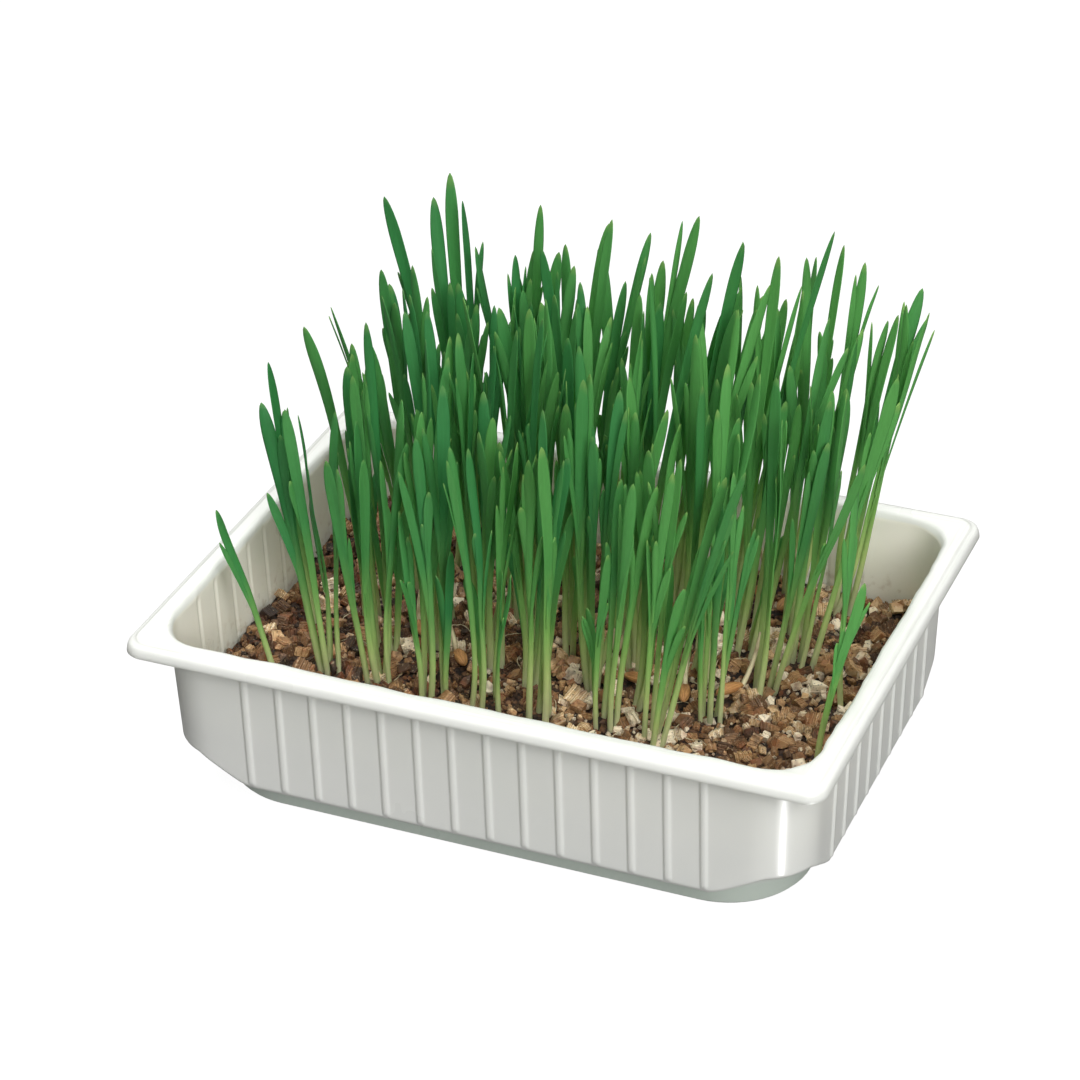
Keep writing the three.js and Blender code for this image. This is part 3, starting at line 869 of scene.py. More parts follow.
@dataclass(frozen=True)
class GrainHusk:
    """The husk of a cereal grain: golden brown with fine lengthwise ribs."""

    light: Colour = (208, 154, 96)
    dark: Colour = (134, 84, 46)
    ribs: float = 22.0

    def material(self) -> bpy.types.Material:
        """Builds the material.

        Returns:
            The material of the grains. It reads the angle round the grain and the place along it from
            grain_place.
        """
        s = Shader("grain_husk")
        place = s.attribute("grain_place")
        around, along, _ = s.parts(place)
        streaks = s.noise(1, detail=4, place=s.stretched((7, 2.4, 1), place), rough=0.65)
        ends = abs(along - 0.5).between(0.28, 0.5)
        colour = s.blend(streaks.between(0.36, 0.64) * 0.75 + ends * 0.25, self.light, self.dark)
        ridges = (around * self.ribs).sine() * 0.5 + 0.5
        colour = s.shade(colour, 0.88 + ridges * 0.16)
        normal = s.bump(ridges * 0.5 + streaks, 0.14 * MM, 0.8)
        sockets = {"Base Color": colour, "Roughness": 0.42 + streaks * 0.25, "Normal": normal}
        return s.done(s.principled(sockets))


@dataclass(frozen=True)
class FineRoot:
    """Thin pale roots and the first white sprout of a grain."""

    colour: Colour = (214, 204, 168)
    stained: Colour = (156, 128, 92)

    def material(self) -> bpy.types.Material:
        """Builds the material.

        Returns:
            The material of roots and sprouts.
        """
        s = Shader("fine_root")
        stains = s.noise(300, detail=3)
        colour = s.blend(stains.between(0.45, 0.75) * 0.7, self.colour, self.stained)
        sockets = {"Base Color": colour, "Roughness": 0.5 + stains * 0.2}
        return s.done(s.principled({**sockets, "Normal": s.bump(stains, 0.05 * MM)}))


@dataclass(frozen=True)
class PaleFloor:
    """The plain white of the floor and the backdrop, with a glow of its own."""

    glow: float
    colour: Colour = (92, 92, 92)
    cloud: Colour = (98, 98, 98)

    def material(self) -> bpy.types.Material:
        """Builds the material.

        Returns:
            The material of the floor and the backdrop.
        """
        s = Shader("pale_floor")
        clouds = s.noise(3, detail=1)
        colour = s.blend(clouds * 0.2, self.colour, self.cloud)
        sockets = {"Base Color": colour, "Roughness": 0.9, "Specular IOR Level": 0.1}
        sockets |= {"Emission Color": paint((255, 255, 255)), "Emission Strength": self.glow}
        return s.done(s.principled(sockets))


# ---------------------------------------------------------------- tray


class Face(Enum):
    """Which side of the tray's sheet a ring of points lies on."""

    OUTER_WALL = 1
    INNER_WALL = -1
    PLAIN = 0


@dataclass(frozen=True)
class Level:
    """One ring of the tray's section, a rounded rectangle."""

    inset: float
    height: float
    radius: float
    lift: float = 0.0
    face: Face = Face.PLAIN
    wobble: float = 0.0


@dataclass
class RibbedTray:
    """The formed tray: foot, ribbed walls, and a flange with a turned-down lip.

    The sizes are in millimetres, measured in from the flange's edge and up from the floor. Only the
    heights between which the ribs and grooves fade out are in metres.
    """

    length: float = 187.0
    width: float = 137.0
    wall_corner: float = 14.0
    foot_corner: float = 22.0
    lip_corner: float = 5.6
    sheet: float = 1.0
    wall_foot: float = 10.0
    wall_top: float = 48.6
    foot_inset: float = 6.8
    top_inset: float = 5.8
    corner_lift: float = 7.0
    lift_run: tuple[float, float] = (-9.0, 5.0)
    lift_easing: float = 0.3
    run_out: tuple[float, ...] = (1.8, 3.6, 5.4, 7.2)
    pitch: float = 9.5
    ribs_long: int = 14
    ribs_short: int = 9
    rib_root: float = 1.15
    rib_crest: float = 0.45
    rib_rise: float = 0.55
    groove_root: float = 1.1
    groove_depth: float = 0.42
    outer_foot: tuple[float, float] = (9.7 * MM, 10.7 * MM)
    inner_foot: tuple[float, float] = (12.2 * MM, 13.8 * MM)
    inner_top: tuple[float, float] = (46.2 * MM, 48.0 * MM)
    corner_steps: int = 14
    rib_stations: tuple[float, ...] = (-1.6, -1.2, -0.95, -0.7, -0.4, 0.0, 0.4, 0.7, 0.95, 1.2, 1.6)

    def lifted(self, past: np.ndarray) -> np.ndarray:
        """How far the wall's foot rises towards a corner.

        Args:
            past: distances past the start of the corner.

        Returns:
            The share of the corner's lift at each distance.
        """
        low, high = self.lift_run
        eased, even = smooth_step(low, high, past), np.clip((past - low) / (high - low), 0, 1)
        return self.lift_easing * eased + (1 - self.lift_easing) * even

    def wall_levels(self, face: Face) -> list[Level]:
        """The levels of one face of the walls, from the bottom up.

        Args:
            face: the outer or the inner face.

        Returns:
            The levels.
        """
        inner = face is Face.INNER_WALL
        heights = [11.5, 12.4, 13.6, 15.5, 19, 24, 30, 36, 41, 44.5, 46.2, 47, 47.7] if inner else []
        heights = heights or [9.8, 10.4, 11.2, 12.6, 15, 19, 24, 30, 36, 41, 45, 47.5, 48.6]
        extra = self.sheet if inner else 0.0
        levels = []
        for height in heights:
            share = (height - self.wall_foot) / (self.wall_top - self.wall_foot)
            inset = self.foot_inset + (self.top_inset - self.foot_inset) * share + extra
            lift = self.corner_lift * (1 - share)
            levels.append(Level(inset, height, self.wall_corner - extra, lift, face))
        return levels

    def levels(self) -> list[Level]:
        """The whole section of the tray.

        Returns:
            The levels, from the middle of the underside round to the middle of the inside.
        """
        corner, lip, lift, low = self.wall_corner, self.lip_corner, self.corner_lift, self.foot_corner
        foot = [
            Level(40, 0, 8),
            Level(15.6, 0, low - 1.8),
            Level(14.4, 0.25, low - 0.6),
            Level(13.75, 1.0, low),
            Level(13.3, 6.0, low, 0.42 * lift),
            Level(13.1, 6.7, low - 0.1, 0.45 * lift),
            Level(12.5, 7.1, low - 0.8, 0.5 * lift),
            Level(11.0, 7.4, low - 2.8, 0.64 * lift),
            Level(9.4, 7.65, low - 5, 0.8 * lift),
            Level(8.2, 8.05, low - 6.7, 0.92 * lift),
            Level(7.45, 8.65, corner + 0.2, 0.98 * lift),
            Level(7.0, 9.2, corner, lift),
        ]
        flange = [
            Level(5.5, 48.9, corner),
            Level(5.0, 49.0, corner - 1),
            Level(3.1, 49.0, lip - 0.8),
            Level(2.4, 48.8, lip - 1),
            Level(1.75, 48.1, lip - 1),
            Level(1.3, 47.1, lip - 0.9),
            Level(1.05, 46.5, lip - 0.8),
            Level(0.75, 46.3, lip - 0.6),
            Level(0.25, 46.32, lip - 0.2),
            Level(0.0, 46.6, lip),
            Level(0.08, 47.4, lip),
            Level(0.25, 48.2, lip - 0.1),
            Level(0.5, 48.8, lip - 0.3),
            Level(0.9, 49.2, lip - 0.5, wobble=0.04),
            Level(1.4, 49.38, lip - 0.7, wobble=0.06),
            Level(1.95, 49.44, lip - 0.9, wobble=0.06),
            Level(2.1, 49.7, lip - 0.9, wobble=0.06),
            Level(2.32, 49.93, lip - 0.8, wobble=0.06),
            Level(2.7, 50.0, lip - 0.4, wobble=0.08),
            Level(5.2, 50.0, corner - 0.5, wobble=0.2),
            Level(5.9, 49.76, corner - 0.7, wobble=0.3),
            Level(6.35, 49.2, corner - 0.9, wobble=0.32),
            Level(6.6, 48.4, corner - 1, wobble=0.2),
        ]
        hollow = [
            Level(8.1, 10.6, corner - 1, lift),
            Level(9.0, 9.7, corner - 0.6, 0.93 * lift),
            Level(10.6, 9.0, low - 6.2, 0.78 * lift),
            Level(12.6, 8.6, low - 3.2, 0.6 * lift),
            Level(13.9, 8.1, low - 1.4, 0.48 * lift),
            Level(14.3, 7.0, low - 1, 0.42 * lift),
            Level(14.8, 2.0, low - 1),
            Level(15.6, 1.2, low - 1.6),
            Level(17.0, 1.0, low - 3),
            Level(40, 1.0, 8),
        ]
        outer = self.wall_levels(Face.OUTER_WALL)
        inner = self.wall_levels(Face.INNER_WALL)
        return [*foot, *outer, *flange, *reversed(inner), *hollow]

    def ring(self, level: Level) -> tuple[np.ndarray, np.ndarray, np.ndarray]:
        """The points of one level.

        Args:
            level: the level.

        Returns:
            The points, the outward direction at each, and for each the place along its wall beside the
            number of ribs on that wall.
        """
        half = np.array([self.length, self.width]) / 2 - level.inset
        points, outward, ribs = [], [], []
        for side in range(4):
            along_x = side % 2 == 0
            count = self.ribs_long if along_x else self.ribs_short
            run = half[0 if along_x else 1] - level.radius
            reach = half[1 if along_x else 0]
            widest = (self.length if along_x else self.width) / 2 - self.foot_inset - self.wall_corner
            middle = (np.arange(count) - (count - 1) / 2)[:, None] * self.pitch
            ends = widest - np.array((0.0, *self.run_out))
            stations = np.concatenate([-ends, (middle + np.array(self.rib_stations)).ravel(), ends[::-1]])
            rise = level.lift * self.lifted(abs(stations) - widest)
            stations *= min(1.0, run / widest)
            stations[[0, -1]] = -run, run
            normal, tangent = side_directions(side)
            for place, up in zip(stations, rise):
                points.append([*(tangent * place + normal * reach), level.height + up])
                outward.append([*normal, 0.0])
                ribs.append([place, count, 0.0])
            centre = tangent * run + normal * (reach - level.radius)
            arc = self.wall_corner * math.pi / 2
            for step in range(1, self.corner_steps):
                turn = step / self.corner_steps
                way = normal * math.cos(turn * math.pi / 2) + tangent * math.sin(turn * math.pi / 2)
                up = level.lift * float(self.lifted(np.array(min(turn, 1 - turn) * arc)))
                points.append([*(centre + way * level.radius), level.height + up])
                outward.append([*way, 0.0])
                ribs.append([0.0, 0.0, 0.0])
        return np.array(points), np.array(outward), np.array(ribs)

    def wobbled(self, points: np.ndarray, outward: np.ndarray, amount: float) -> np.ndarray:
        """Lets a ring wander a little, as formed sheet does at its shoulder.

        Args:
            points: the ring.
            outward: the outward directions.
            amount: how far it wanders.

        Returns:
            The ring, moved.
        """
        x, y = points[:, 0], points[:, 1]
        wave = np.sin(x / 9.1 + 0.7) * np.cos(y / 7.3) + 0.6 * np.sin((x - y) / 3.7 + 1.1)
        wave += 0.5 * np.sin((x + 2 * y) / 2.3)
        aside, down = (wave * amount)[:, None], (wave * amount * -0.25)[:, None]
        return points + outward * aside * 0.6 + [0, 0, 1] * down

    def sheet_mesh(self) -> bpy.types.Mesh:
        """The tray without its ribs, as a closed skin over the levels.

        Returns:
            The mesh, with what the ribs need stored on its vertices.
        """
        points, outward, ribs = [], [], []
        for level in self.levels():
            ring, way, wall = self.ring(level)
            points.append(self.wobbled(ring, way, level.wobble) if level.wobble else ring)
            outward.append(way)
            wall[:, 2] = level.face.value
            ribs.append(wall)
        faces = ring_faces(len(points), len(points[0]))
        mesh = new_mesh("tray_sheet", np.concatenate(points) * MM, faces)
        add_values(mesh, "outward", np.concatenate(outward))
        add_values(mesh, "rib_place", np.concatenate(ribs))
        return mesh

    def rib_recipe(self) -> Recipe:
        """The tree that presses the ribs into the walls.

        Returns:
            The recipe.
        """
        sizes = {
            "Pitch": self.pitch,
            "Rib root": self.rib_root,
            "Rib crest": self.rib_crest,
            "Rib rise": self.rib_rise * MM,
            "Groove root": self.groove_root,
            "Groove depth": self.groove_depth * MM,
        }
        inputs = {title: ("NodeSocketFloat", value) for title, value in sizes.items()}
        r = Recipe("pressed_ribs", inputs)
        along, count, face = r.parts(r.stored("rib_place"))
        *_, height = r.parts(r.node("GeometryNodeInputPosition"))
        last = (count - 1) / 2
        number = (along / r.input("Pitch") + last).rounded().most(0.0).least(count - 1)
        offset = abs(along - (number - last) * r.input("Pitch"))
        on_wall = abs(face) * count.least(1.0)
        outer = face.most(0.0)
        root = r.input("Groove root") + (r.input("Rib root") - r.input("Groove root")) * outer
        crest = r.input("Rib crest") * outer
        outer_fade = height.between(*self.outer_foot)
        inner_fade = height.between(*self.inner_foot) * height.between(*self.inner_top, 1.0, 0.0)
        fade = inner_fade + (outer_fade - inner_fade) * outer
        rise = r.input("Groove depth") + (r.input("Rib rise") - r.input("Groove depth")) * outer
        amount = offset.between(root, crest) * fade * rise * on_wall
        push = r.vector_math("SCALE", r.stored("outward"), amount)
        sockets = {"Geometry": r.input("Geometry"), "Offset": push}
        r.close(r.node("GeometryNodeSetPosition", sockets=sockets))
        return r

    def build(self) -> bpy.types.Object:
        """Builds the tray and dresses it.

        Returns:
            The tray.
        """
        made = self.rib_recipe().run(self.sheet_mesh(), "formed_tray", FormedPlastic().material())
        return finish_piece(made, ["tray"])


# ---------------------------------------------------------------- shoots


@dataclass
class Shoot:
    """One shoot, as a smooth line with a direction across its leaf."""

    foot: np.ndarray
    drift: np.ndarray
    height: float
    facing: float
    twist: float
    width: float

    def centre(self, s: np.ndarray) -> np.ndarray:
        """Points of the line, for places from 0 at its foot to 1 at its tip."""
        plan = self.foot[:2] + s[:, None] * self.drift[0] + s[:, None] ** 2 * self.drift[1]
        return np.column_stack([plan, self.foot[2] + self.height * s])

    def tangent(self, s: np.ndarray) -> np.ndarray:
        """Directions of the line at these places."""
        plan = self.drift[0] + 2 * s[:, None] * self.drift[1]
        return unit(np.column_stack([plan, np.full(len(s), self.height)]))

    def across(self, s: np.ndarray) -> np.ndarray:
        """Directions across the leaf.

        Args:
            s: places along the line.

        Returns:
            One direction for each place.
        """
        angle = self.facing + self.twist * s
        flat = np.column_stack([np.cos(angle), np.sin(angle), np.zeros(len(s))])
        tangent = self.tangent(s)
        return unit(flat - tangent * np.sum(flat * tangent, axis=1, keepdims=True))


@dataclass
class ShootReader:
    """Reads the shoots back from the faceted solids of the frame.

    A blade there is a skin over rings of four corners, and above the bed the blades are apart.
    """

    clear_height: float
    ring_places: tuple[float, ...] = (0.4, 0.8, 1.0)

    def blades(self, node: bpy.types.Object) -> list[np.ndarray]:
        """Corner points of each blade of a node, above the height where they are apart.

        Args:
            node: the node's object.

        Returns:
            One array of points for each blade.
        """
        mesh = node.data
        corners = np.array([vertex.co for vertex in mesh.vertices])
        points, number = np.unique(np.round(corners, 6), axis=0, return_inverse=True)
        number = number.ravel()
        high = points[:, 2] > self.clear_height
        group = np.arange(len(points))
        pairs = np.array([edge.vertices for edge in mesh.edges])
        pairs = number[pairs]
        pairs = pairs[high[pairs].all(axis=1)]
        changed = True
        while changed:
            low = np.minimum(group[pairs[:, 0]], group[pairs[:, 1]])
            before = group.copy()
            np.minimum.at(group, pairs[:, 0], low)
            np.minimum.at(group, pairs[:, 1], low)
            changed = bool((group != before).any())
        return [points[high & (group == g)] for g in np.unique(group[high])]

    @staticmethod
    def ring_axes(ring: np.ndarray) -> tuple[np.ndarray, np.ndarray]:
        """Reads a ring of four corners.

        Args:
            ring: the corners, in any order.

        Returns:
            The ring's centre, and the vector from one of its narrow ends to the other.
        """
        pairings = (((0, 1), (2, 3)), ((0, 2), (1, 3)), ((0, 3), (1, 2)))

        def gap(pairing: tuple) -> float:
            """Summed length of the two short sides that a pairing would give."""
            return sum(float(np.linalg.norm(ring[a] - ring[b])) for a, b in pairing)

        first, second = min(pairings, key=gap)
        across = ring[list(second)].mean(axis=0) - ring[list(first)].mean(axis=0)
        return ring.mean(axis=0), across

    def shoot(self, points: np.ndarray) -> Optional[Shoot]:
        """Works out one shoot from its corner points.

        Args:
            points: the corner points.

        Returns:
            The shoot, or None where the points aren't whole rings.
        """
        if len(points) != 4 * len(self.ring_places):
            return None
        rings = points[np.argsort(points[:, 2])].reshape(-1, 4, 3)
        places = np.array(self.ring_places)
        centres, across = map(np.array, zip(*[self.ring_axes(ring) for ring in rings]))
        across[1] *= 1 if across[0] @ across[1] > 0 else -1
        terms = np.column_stack([np.ones(3), places, places**2])
        plan = np.linalg.solve(terms, centres[:, :2])
        height, bottom = np.polyfit(places, centres[:, 2], 1)
        angles = np.unwrap(np.arctan2(across[:2, 1], across[:2, 0]))
        twist, facing = np.polyfit(places[:2], angles, 1)
        widest = float(np.linalg.norm(across[1]))
        foot = np.append(plan[0], bottom)
        return Shoot(foot, plan[1:], float(height), float(facing), float(twist), widest)

    def read(self, node: bpy.types.Object) -> list[Shoot]:
        """All shoots of a node."""
        found = [self.shoot(points) for points in self.blades(node)]
        return [shoot for shoot in found if shoot is not None]


@dataclass
class GrassStand:
    """The shoots: each tuft of the frame again, with rolled stalks, creased blades and soft points."""

    rings: int = 26
    profile_points: int = 10
    widths: tuple[tuple[float, float], ...] = (
        (0.0, 0.54),
        (0.25, 0.54),
        (0.45, 0.62),
        (0.66, 0.8),
        (0.87, 1.0),
        (1.0, 0.96),
    )
    side_widths: tuple[tuple[float, float], ...] = (
        (0.0, 0.36),
        (0.25, 0.54),
        (0.55, 0.84),
        (0.8, 1.0),
        (1.0, 0.94),
    )
    side_shares: tuple[float, ...] = (0.95, 0.65, 0.35)
    side_start: tuple[float, float] = (0.26, 0.56)
    side_top: tuple[float, float] = (0.66, 0.98)
    side_spread: tuple[float, float] = (0.04, 0.15)
    side_width: tuple[float, float] = (0.46, 0.84)
    side_turn: float = 0.7
    side_facing: float = 0.6
    side_curl: float = 0.5
    side_rise: float = 0.35
    side_tone: float = 0.8
    ring_crowding: float = 1.45
    side_ring_crowding: float = 1.3
    tip_start: float = 0.88
    side_tip_start: float = 0.78
    # tone: middle, random spread, and painted light that lowers the tone towards the right of the bed, so
    # leaves there are lighter.
    tone: tuple[float, float, float] = (0.5, 0.36, -4.2)
    leaf_thickness: float = 0.42 * MM
    stalk_end: tuple[float, float] = (0.14, 0.44)
    fold: tuple[float, float] = (0.12, 0.44)
    crease_power: float = 1.3
    sway: float = 0.55 * MM
    bend: tuple[float, float] = (0.3 * MM, 2.3 * MM)
    bend_top: float = 0.3
    clear_above: float = 3 * MM
    shoots: dict[str, list[Shoot]] = field(default_factory=dict)

    def read_frame(self) -> None:
        """Finds the shoots of every tuft and every lone seedling of the frame."""
        bed_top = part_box("vermiculite_bed")[1].z
        reader = ShootReader(clear_height=bed_top + self.clear_above)
        for name, node in sorted(frame["nodes"].items()):
            if name.startswith(("grass_tuft_", "stray_shoot_")):
                self.shoots[name] = reader.read(node)

    def stalks_at(self, height: float) -> np.ndarray:
        """Where the middles of the stalks are at a height.

        Args:
            height: the height above the floor.

        Returns:
            One point for each stalk.
        """
        found = []
        for shoot in (one for many in self.shoots.values() for one in many):
            s = np.array([(height - shoot.foot[2]) / shoot.height])
            found.append(shoot.centre(s)[0])
        return np.array(found)

    def outline(self, shoot: Shoot, s: np.ndarray) -> tuple[np.ndarray, np.ndarray, np.ndarray]:
        """Half width and half thickness along a shoot, and how far the stalk has opened into a leaf.

        Args:
            shoot: the shoot.
            s: places along it.

        Returns:
            The three values at each place.
        """
        half_width = along_curve(self.widths, s) * shoot.width / 2 * self.point(s, self.tip_start)
        opened = smooth_step(*self.stalk_end, s)
        thin = self.leaf_thickness / 2 * (0.55 + 0.45 * np.clip(half_width / shoot.width * 2.2, 0, 1))
        half_thickness = thin + (half_width * 0.86 - thin) * (1 - opened)
        return half_width, np.minimum(half_thickness, half_width), opened

    @staticmethod
    def point(s: np.ndarray, start: float) -> np.ndarray:
        """Share of its width that a leaf keeps as it narrows to its point."""
        t = np.clip((s - start) / (1 - start), 0, 1)
        return np.clip(1 - t**2.1, 0, 1) ** 0.6 * 0.95 + 0.05

    def side_leaf(self, shoot: Shoot, rng: np.random.Generator) -> tuple[np.ndarray, ...]:
        """A second, smaller leaf that comes out of a shoot's stalk.

        Args:
            shoot: the shoot.
            rng: the source of its random draws.

        Returns:
            Its middle line, its two directions, its skin's sizes, and its places along the whole shoot.
        """
        u = 1 - (1 - np.linspace(0, 1, self.rings)) ** self.side_ring_crowding
        start = rng.uniform(*self.side_start)
        length = (rng.uniform(*self.side_top) - start) * shoot.height
        first = np.array([start])
        foot, tangent, across = shoot.centre(first)[0], shoot.tangent(first)[0], shoot.across(first)[0]
        turn = rng.uniform(-self.side_turn, self.side_turn)
        through = np.cross(tangent, across)
        away = (across * math.cos(turn) + through * math.sin(turn)) * rng.choice([-1, 1])
        reach = rng.uniform(*self.side_spread) * length
        first_share, later_share = self.side_rise, 1 - self.side_rise
        centre = foot + np.outer(u, tangent) * length
        centre = centre + np.outer(first_share * u + later_share * u**2, away) * reach
        along = unit(tangent * length + np.outer(first_share + 2 * later_share * u, away) * reach)
        facing = rng.uniform(-self.side_facing, self.side_facing)
        facing = facing + rng.uniform(-self.side_curl, self.side_curl) * u
        flat = across * np.cos(facing)[:, None] + through * np.sin(facing)[:, None]
        wide = unit(flat - along * np.sum(flat * along, axis=1, keepdims=True))
        half = along_curve(self.side_widths, u) * shoot.width * rng.uniform(*self.side_width) / 2
        half *= self.point(u, self.side_tip_start)
        thin = np.minimum(self.leaf_thickness * 0.45, half)
        fold = rng.uniform(*self.fold) * rng.choice([-1, 1]) * np.clip((1.02 - u) * 6, 0, 1)
        skin = np.column_stack([half, thin, fold])
        return centre, wide, np.cross(along, wide), skin, start + (1 - start) * u

    def lines(self, name: str, shoots: Sequence[Shoot], rng: np.random.Generator) -> bpy.types.Mesh:
        """The middle lines of a tuft's shoots, with what their skins need stored on them.

        Args:
            name: the tuft's name.
            shoots: its shoots.
            rng: the source of its random draws.

        Returns:
            A mesh of edges only.
        """
        s = 1 - (1 - np.linspace(0, 1, self.rings)) ** self.ring_crowding
        stored: dict[str, list[np.ndarray]] = {
            key: [] for key in ("centre", "across", "through", "skin", "leaf")
        }
        for shoot in shoots:
            across, tangent = shoot.across(s), shoot.tangent(s)
            through = np.cross(tangent, across)
            half_width, half_thickness, opened = self.outline(shoot, s)
            fold = rng.uniform(*self.fold) * rng.choice([-1, 1]) * opened * np.clip((1.02 - s) * 6, 0, 1)
            phase, turns = rng.uniform(0, 2 * math.pi), rng.uniform(0.7, 1.6)
            sway = self.sway * np.sin(math.pi * s) ** 1.3 * np.sin(2 * math.pi * turns * s + phase)
            # Painted light: leaves towards the right of the bed get a lower tone and so the lighter fresh
            # colours.
            middle, spread, painted_light_across_bed = self.tone
            tone = middle + spread * rng.uniform(-1, 1) + painted_light_across_bed * shoot.foot[0]
            heading, bend = rng.uniform(0, 2 * math.pi), rng.uniform(*self.bend)
            aside = np.array([math.cos(heading), math.sin(heading), 0.0]) * bend
            centre = shoot.centre(s) + through * sway[:, None]
            centre += np.outer(np.clip(1 - s / self.bend_top, 0, 1) ** 2, aside)
            skin = np.column_stack([half_width, half_thickness, fold])
            leaf = np.column_stack([s, np.full_like(s, tone), opened])
            strands = [(centre, across, through, skin, leaf)]
            for share in self.side_shares:
                if rng.random() < share:
                    *parts, along = self.side_leaf(shoot, rng)
                    leaf = np.column_stack([along, np.full_like(s, tone * self.side_tone), np.ones_like(s)])
                    strands.append((*parts, leaf))
            for strand in strands:
                for key, values in zip(stored, strand):
                    stored[key].append(values)
        rows = {key: np.concatenate(values) for key, values in stored.items()}
        edges = line_edges(len(stored["centre"]), self.rings)
        mesh = new_mesh(name + "_lines", rows["centre"], edges=edges)
        for key, values in rows.items():
            add_values(mesh, key, values)
        return mesh

    def skin_recipe(self) -> Recipe:
        """The tree that sweeps a leaf's section along each line.

        Returns:
            The recipe.
        """
        r = Recipe("leaf_skin", {"Profile points": ("NodeSocketInt", self.profile_points)})
        marked = r.store(r.circle("Profile points"), "round", r.node("GeometryNodeInputPosition"))
        swept = r.swept({"Profile Curve": marked})
        u, v, _ = r.parts(r.stored("round"))
        half_width, half_thickness, fold = r.parts(r.stored("skin"))
        sideways = r.vector_math("SCALE", r.stored("across"), u * half_width)
        depth = v * half_thickness + abs(u) ** self.crease_power * half_width * fold
        through = r.vector_math("SCALE", r.stored("through"), depth)
        place = r.vector_math("ADD", r.vector_math("ADD", r.stored("centre"), sideways), through)
        placed = r.node("GeometryNodeSetPosition", sockets={"Geometry": swept, "Position": place})
        along, tone, opened = r.parts(r.stored("leaf"))
        on_leaf = r.node("ShaderNodeCombineXYZ", sockets={"X": u * opened, "Y": along, "Z": tone})
        r.close(r.store(placed, "leaf_place", on_leaf))
        return r

    def build(self) -> list[bpy.types.Object]:
        """Builds one piece for each tuft and each lone seedling.

        Returns:
            The pieces.
        """
        material = YoungLeaf().material()
        recipe = self.skin_recipe()
        made = []
        for number, (name, shoots) in enumerate(self.shoots.items()):
            lines = self.lines(name, shoots, np.random.default_rng(SEED + number))
            title = name.replace("grass_tuft", "leaves").replace("stray_shoot", "lone_leaf")
            made.append(finish_piece(recipe.run(lines, title, material), [name]))
        log.info("%d shoots in %d tufts", sum(map(len, self.shoots.values())), len(made))
        return made


# ---------------------------------------------------------------- bed


@dataclass(frozen=True)
class GranuleShape:
    """How the granules of one kind are formed; their height is given as a share of the width."""

    title: str
    variants: int
    corners: int
    layers: int
    height: tuple[float, float]


class Granule(Enum):
    """Kinds of granule."""

    BOOK = GranuleShape("book", variants=6, corners=4, layers=5, height=(0.7, 1.2))
    CHIP = GranuleShape("chip", variants=7, corners=5, layers=2, height=(0.35, 0.75))
    CRUMB = GranuleShape("crumb", variants=6, corners=5, layers=1, height=(0.4, 0.8))


@dataclass
class BedRelief:
    """Heights of the frame's bed on a grid, in millimetres; its holes are bridged from their rims."""

    step: float = 1.4
    hole_below: float = 21.6
    fills: int = 60

    def __post_init__(self) -> None:
        """Reads the heights."""
        mesh = frame["nodes"]["vermiculite_bed"].data
        corners = [vertex.co / MM for vertex in mesh.vertices]
        tree = BVHTree.FromPolygons(corners, [face.vertices[:] for face in mesh.polygons])
        low, high = (np.array(corner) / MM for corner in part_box("vermiculite_bed"))
        self.start = low[:2] - self.step
        size = np.ceil((high[:2] - self.start) / self.step).astype(int) + 2
        grid = np.full(size, np.nan)
        for i, j in np.ndindex(*size):
            x, y = self.start + self.step * np.array((i, j))
            hit = tree.ray_cast(Vector((x, y, high[2] + 10)), Vector((0, 0, -1)))[0]
            if hit is not None and hit.z > self.hole_below:
                grid[i, j] = hit.z
        self.grid = self.bridged(grid)

    def bridged(self, grid: np.ndarray) -> np.ndarray:
        """Fills the unknown heights from their neighbours, ring by ring.

        Args:
            grid: the heights, with gaps.

        Returns:
            The heights without gaps.
        """
        known = ~np.isnan(grid)
        filled = np.where(known, grid, np.nanmean(grid))
        for _ in range(self.fills):
            padded = np.pad(filled, 1, mode="edge")
            around = (padded[2:, 1:-1] + padded[:-2, 1:-1] + padded[1:-1, 2:] + padded[1:-1, :-2]) / 4
            filled = np.where(known, filled, around)
        return filled

    def at(self, x: np.ndarray, y: np.ndarray) -> np.ndarray:
        """Reads heights off the grid.

        Args:
            x: places along the tray, in millimetres.
            y: places across the tray, in millimetres.

        Returns:
            The height of the bed at each place, in millimetres.
        """
        place = (np.stack([np.asarray(x), np.asarray(y)], axis=-1) - self.start) / self.step
        place = np.clip(place, 0, np.array(self.grid.shape) - 1.001)
        cell = place.astype(int)
        (i, j), (u, v) = np.moveaxis(cell, -1, 0), np.moveaxis(place - cell, -1, 0)
        near = self.grid[i, j] * (1 - u) + self.grid[i + 1, j] * u
        far = self.grid[i, j + 1] * (1 - u) + self.grid[i + 1, j + 1] * u
        return near * (1 - v) + far * v


@dataclass(frozen=True)
class GranuleLayer:
    """One layer of strewn granules, in millimetres; thinned is the share left out towards the right."""

    name: str
    kinds: tuple[Granule, ...]
    spacing: float
    widths: tuple[float, float]
    sunk: float
    raised: float
    inset: float
    drop: float
    thinned: float = 0.0


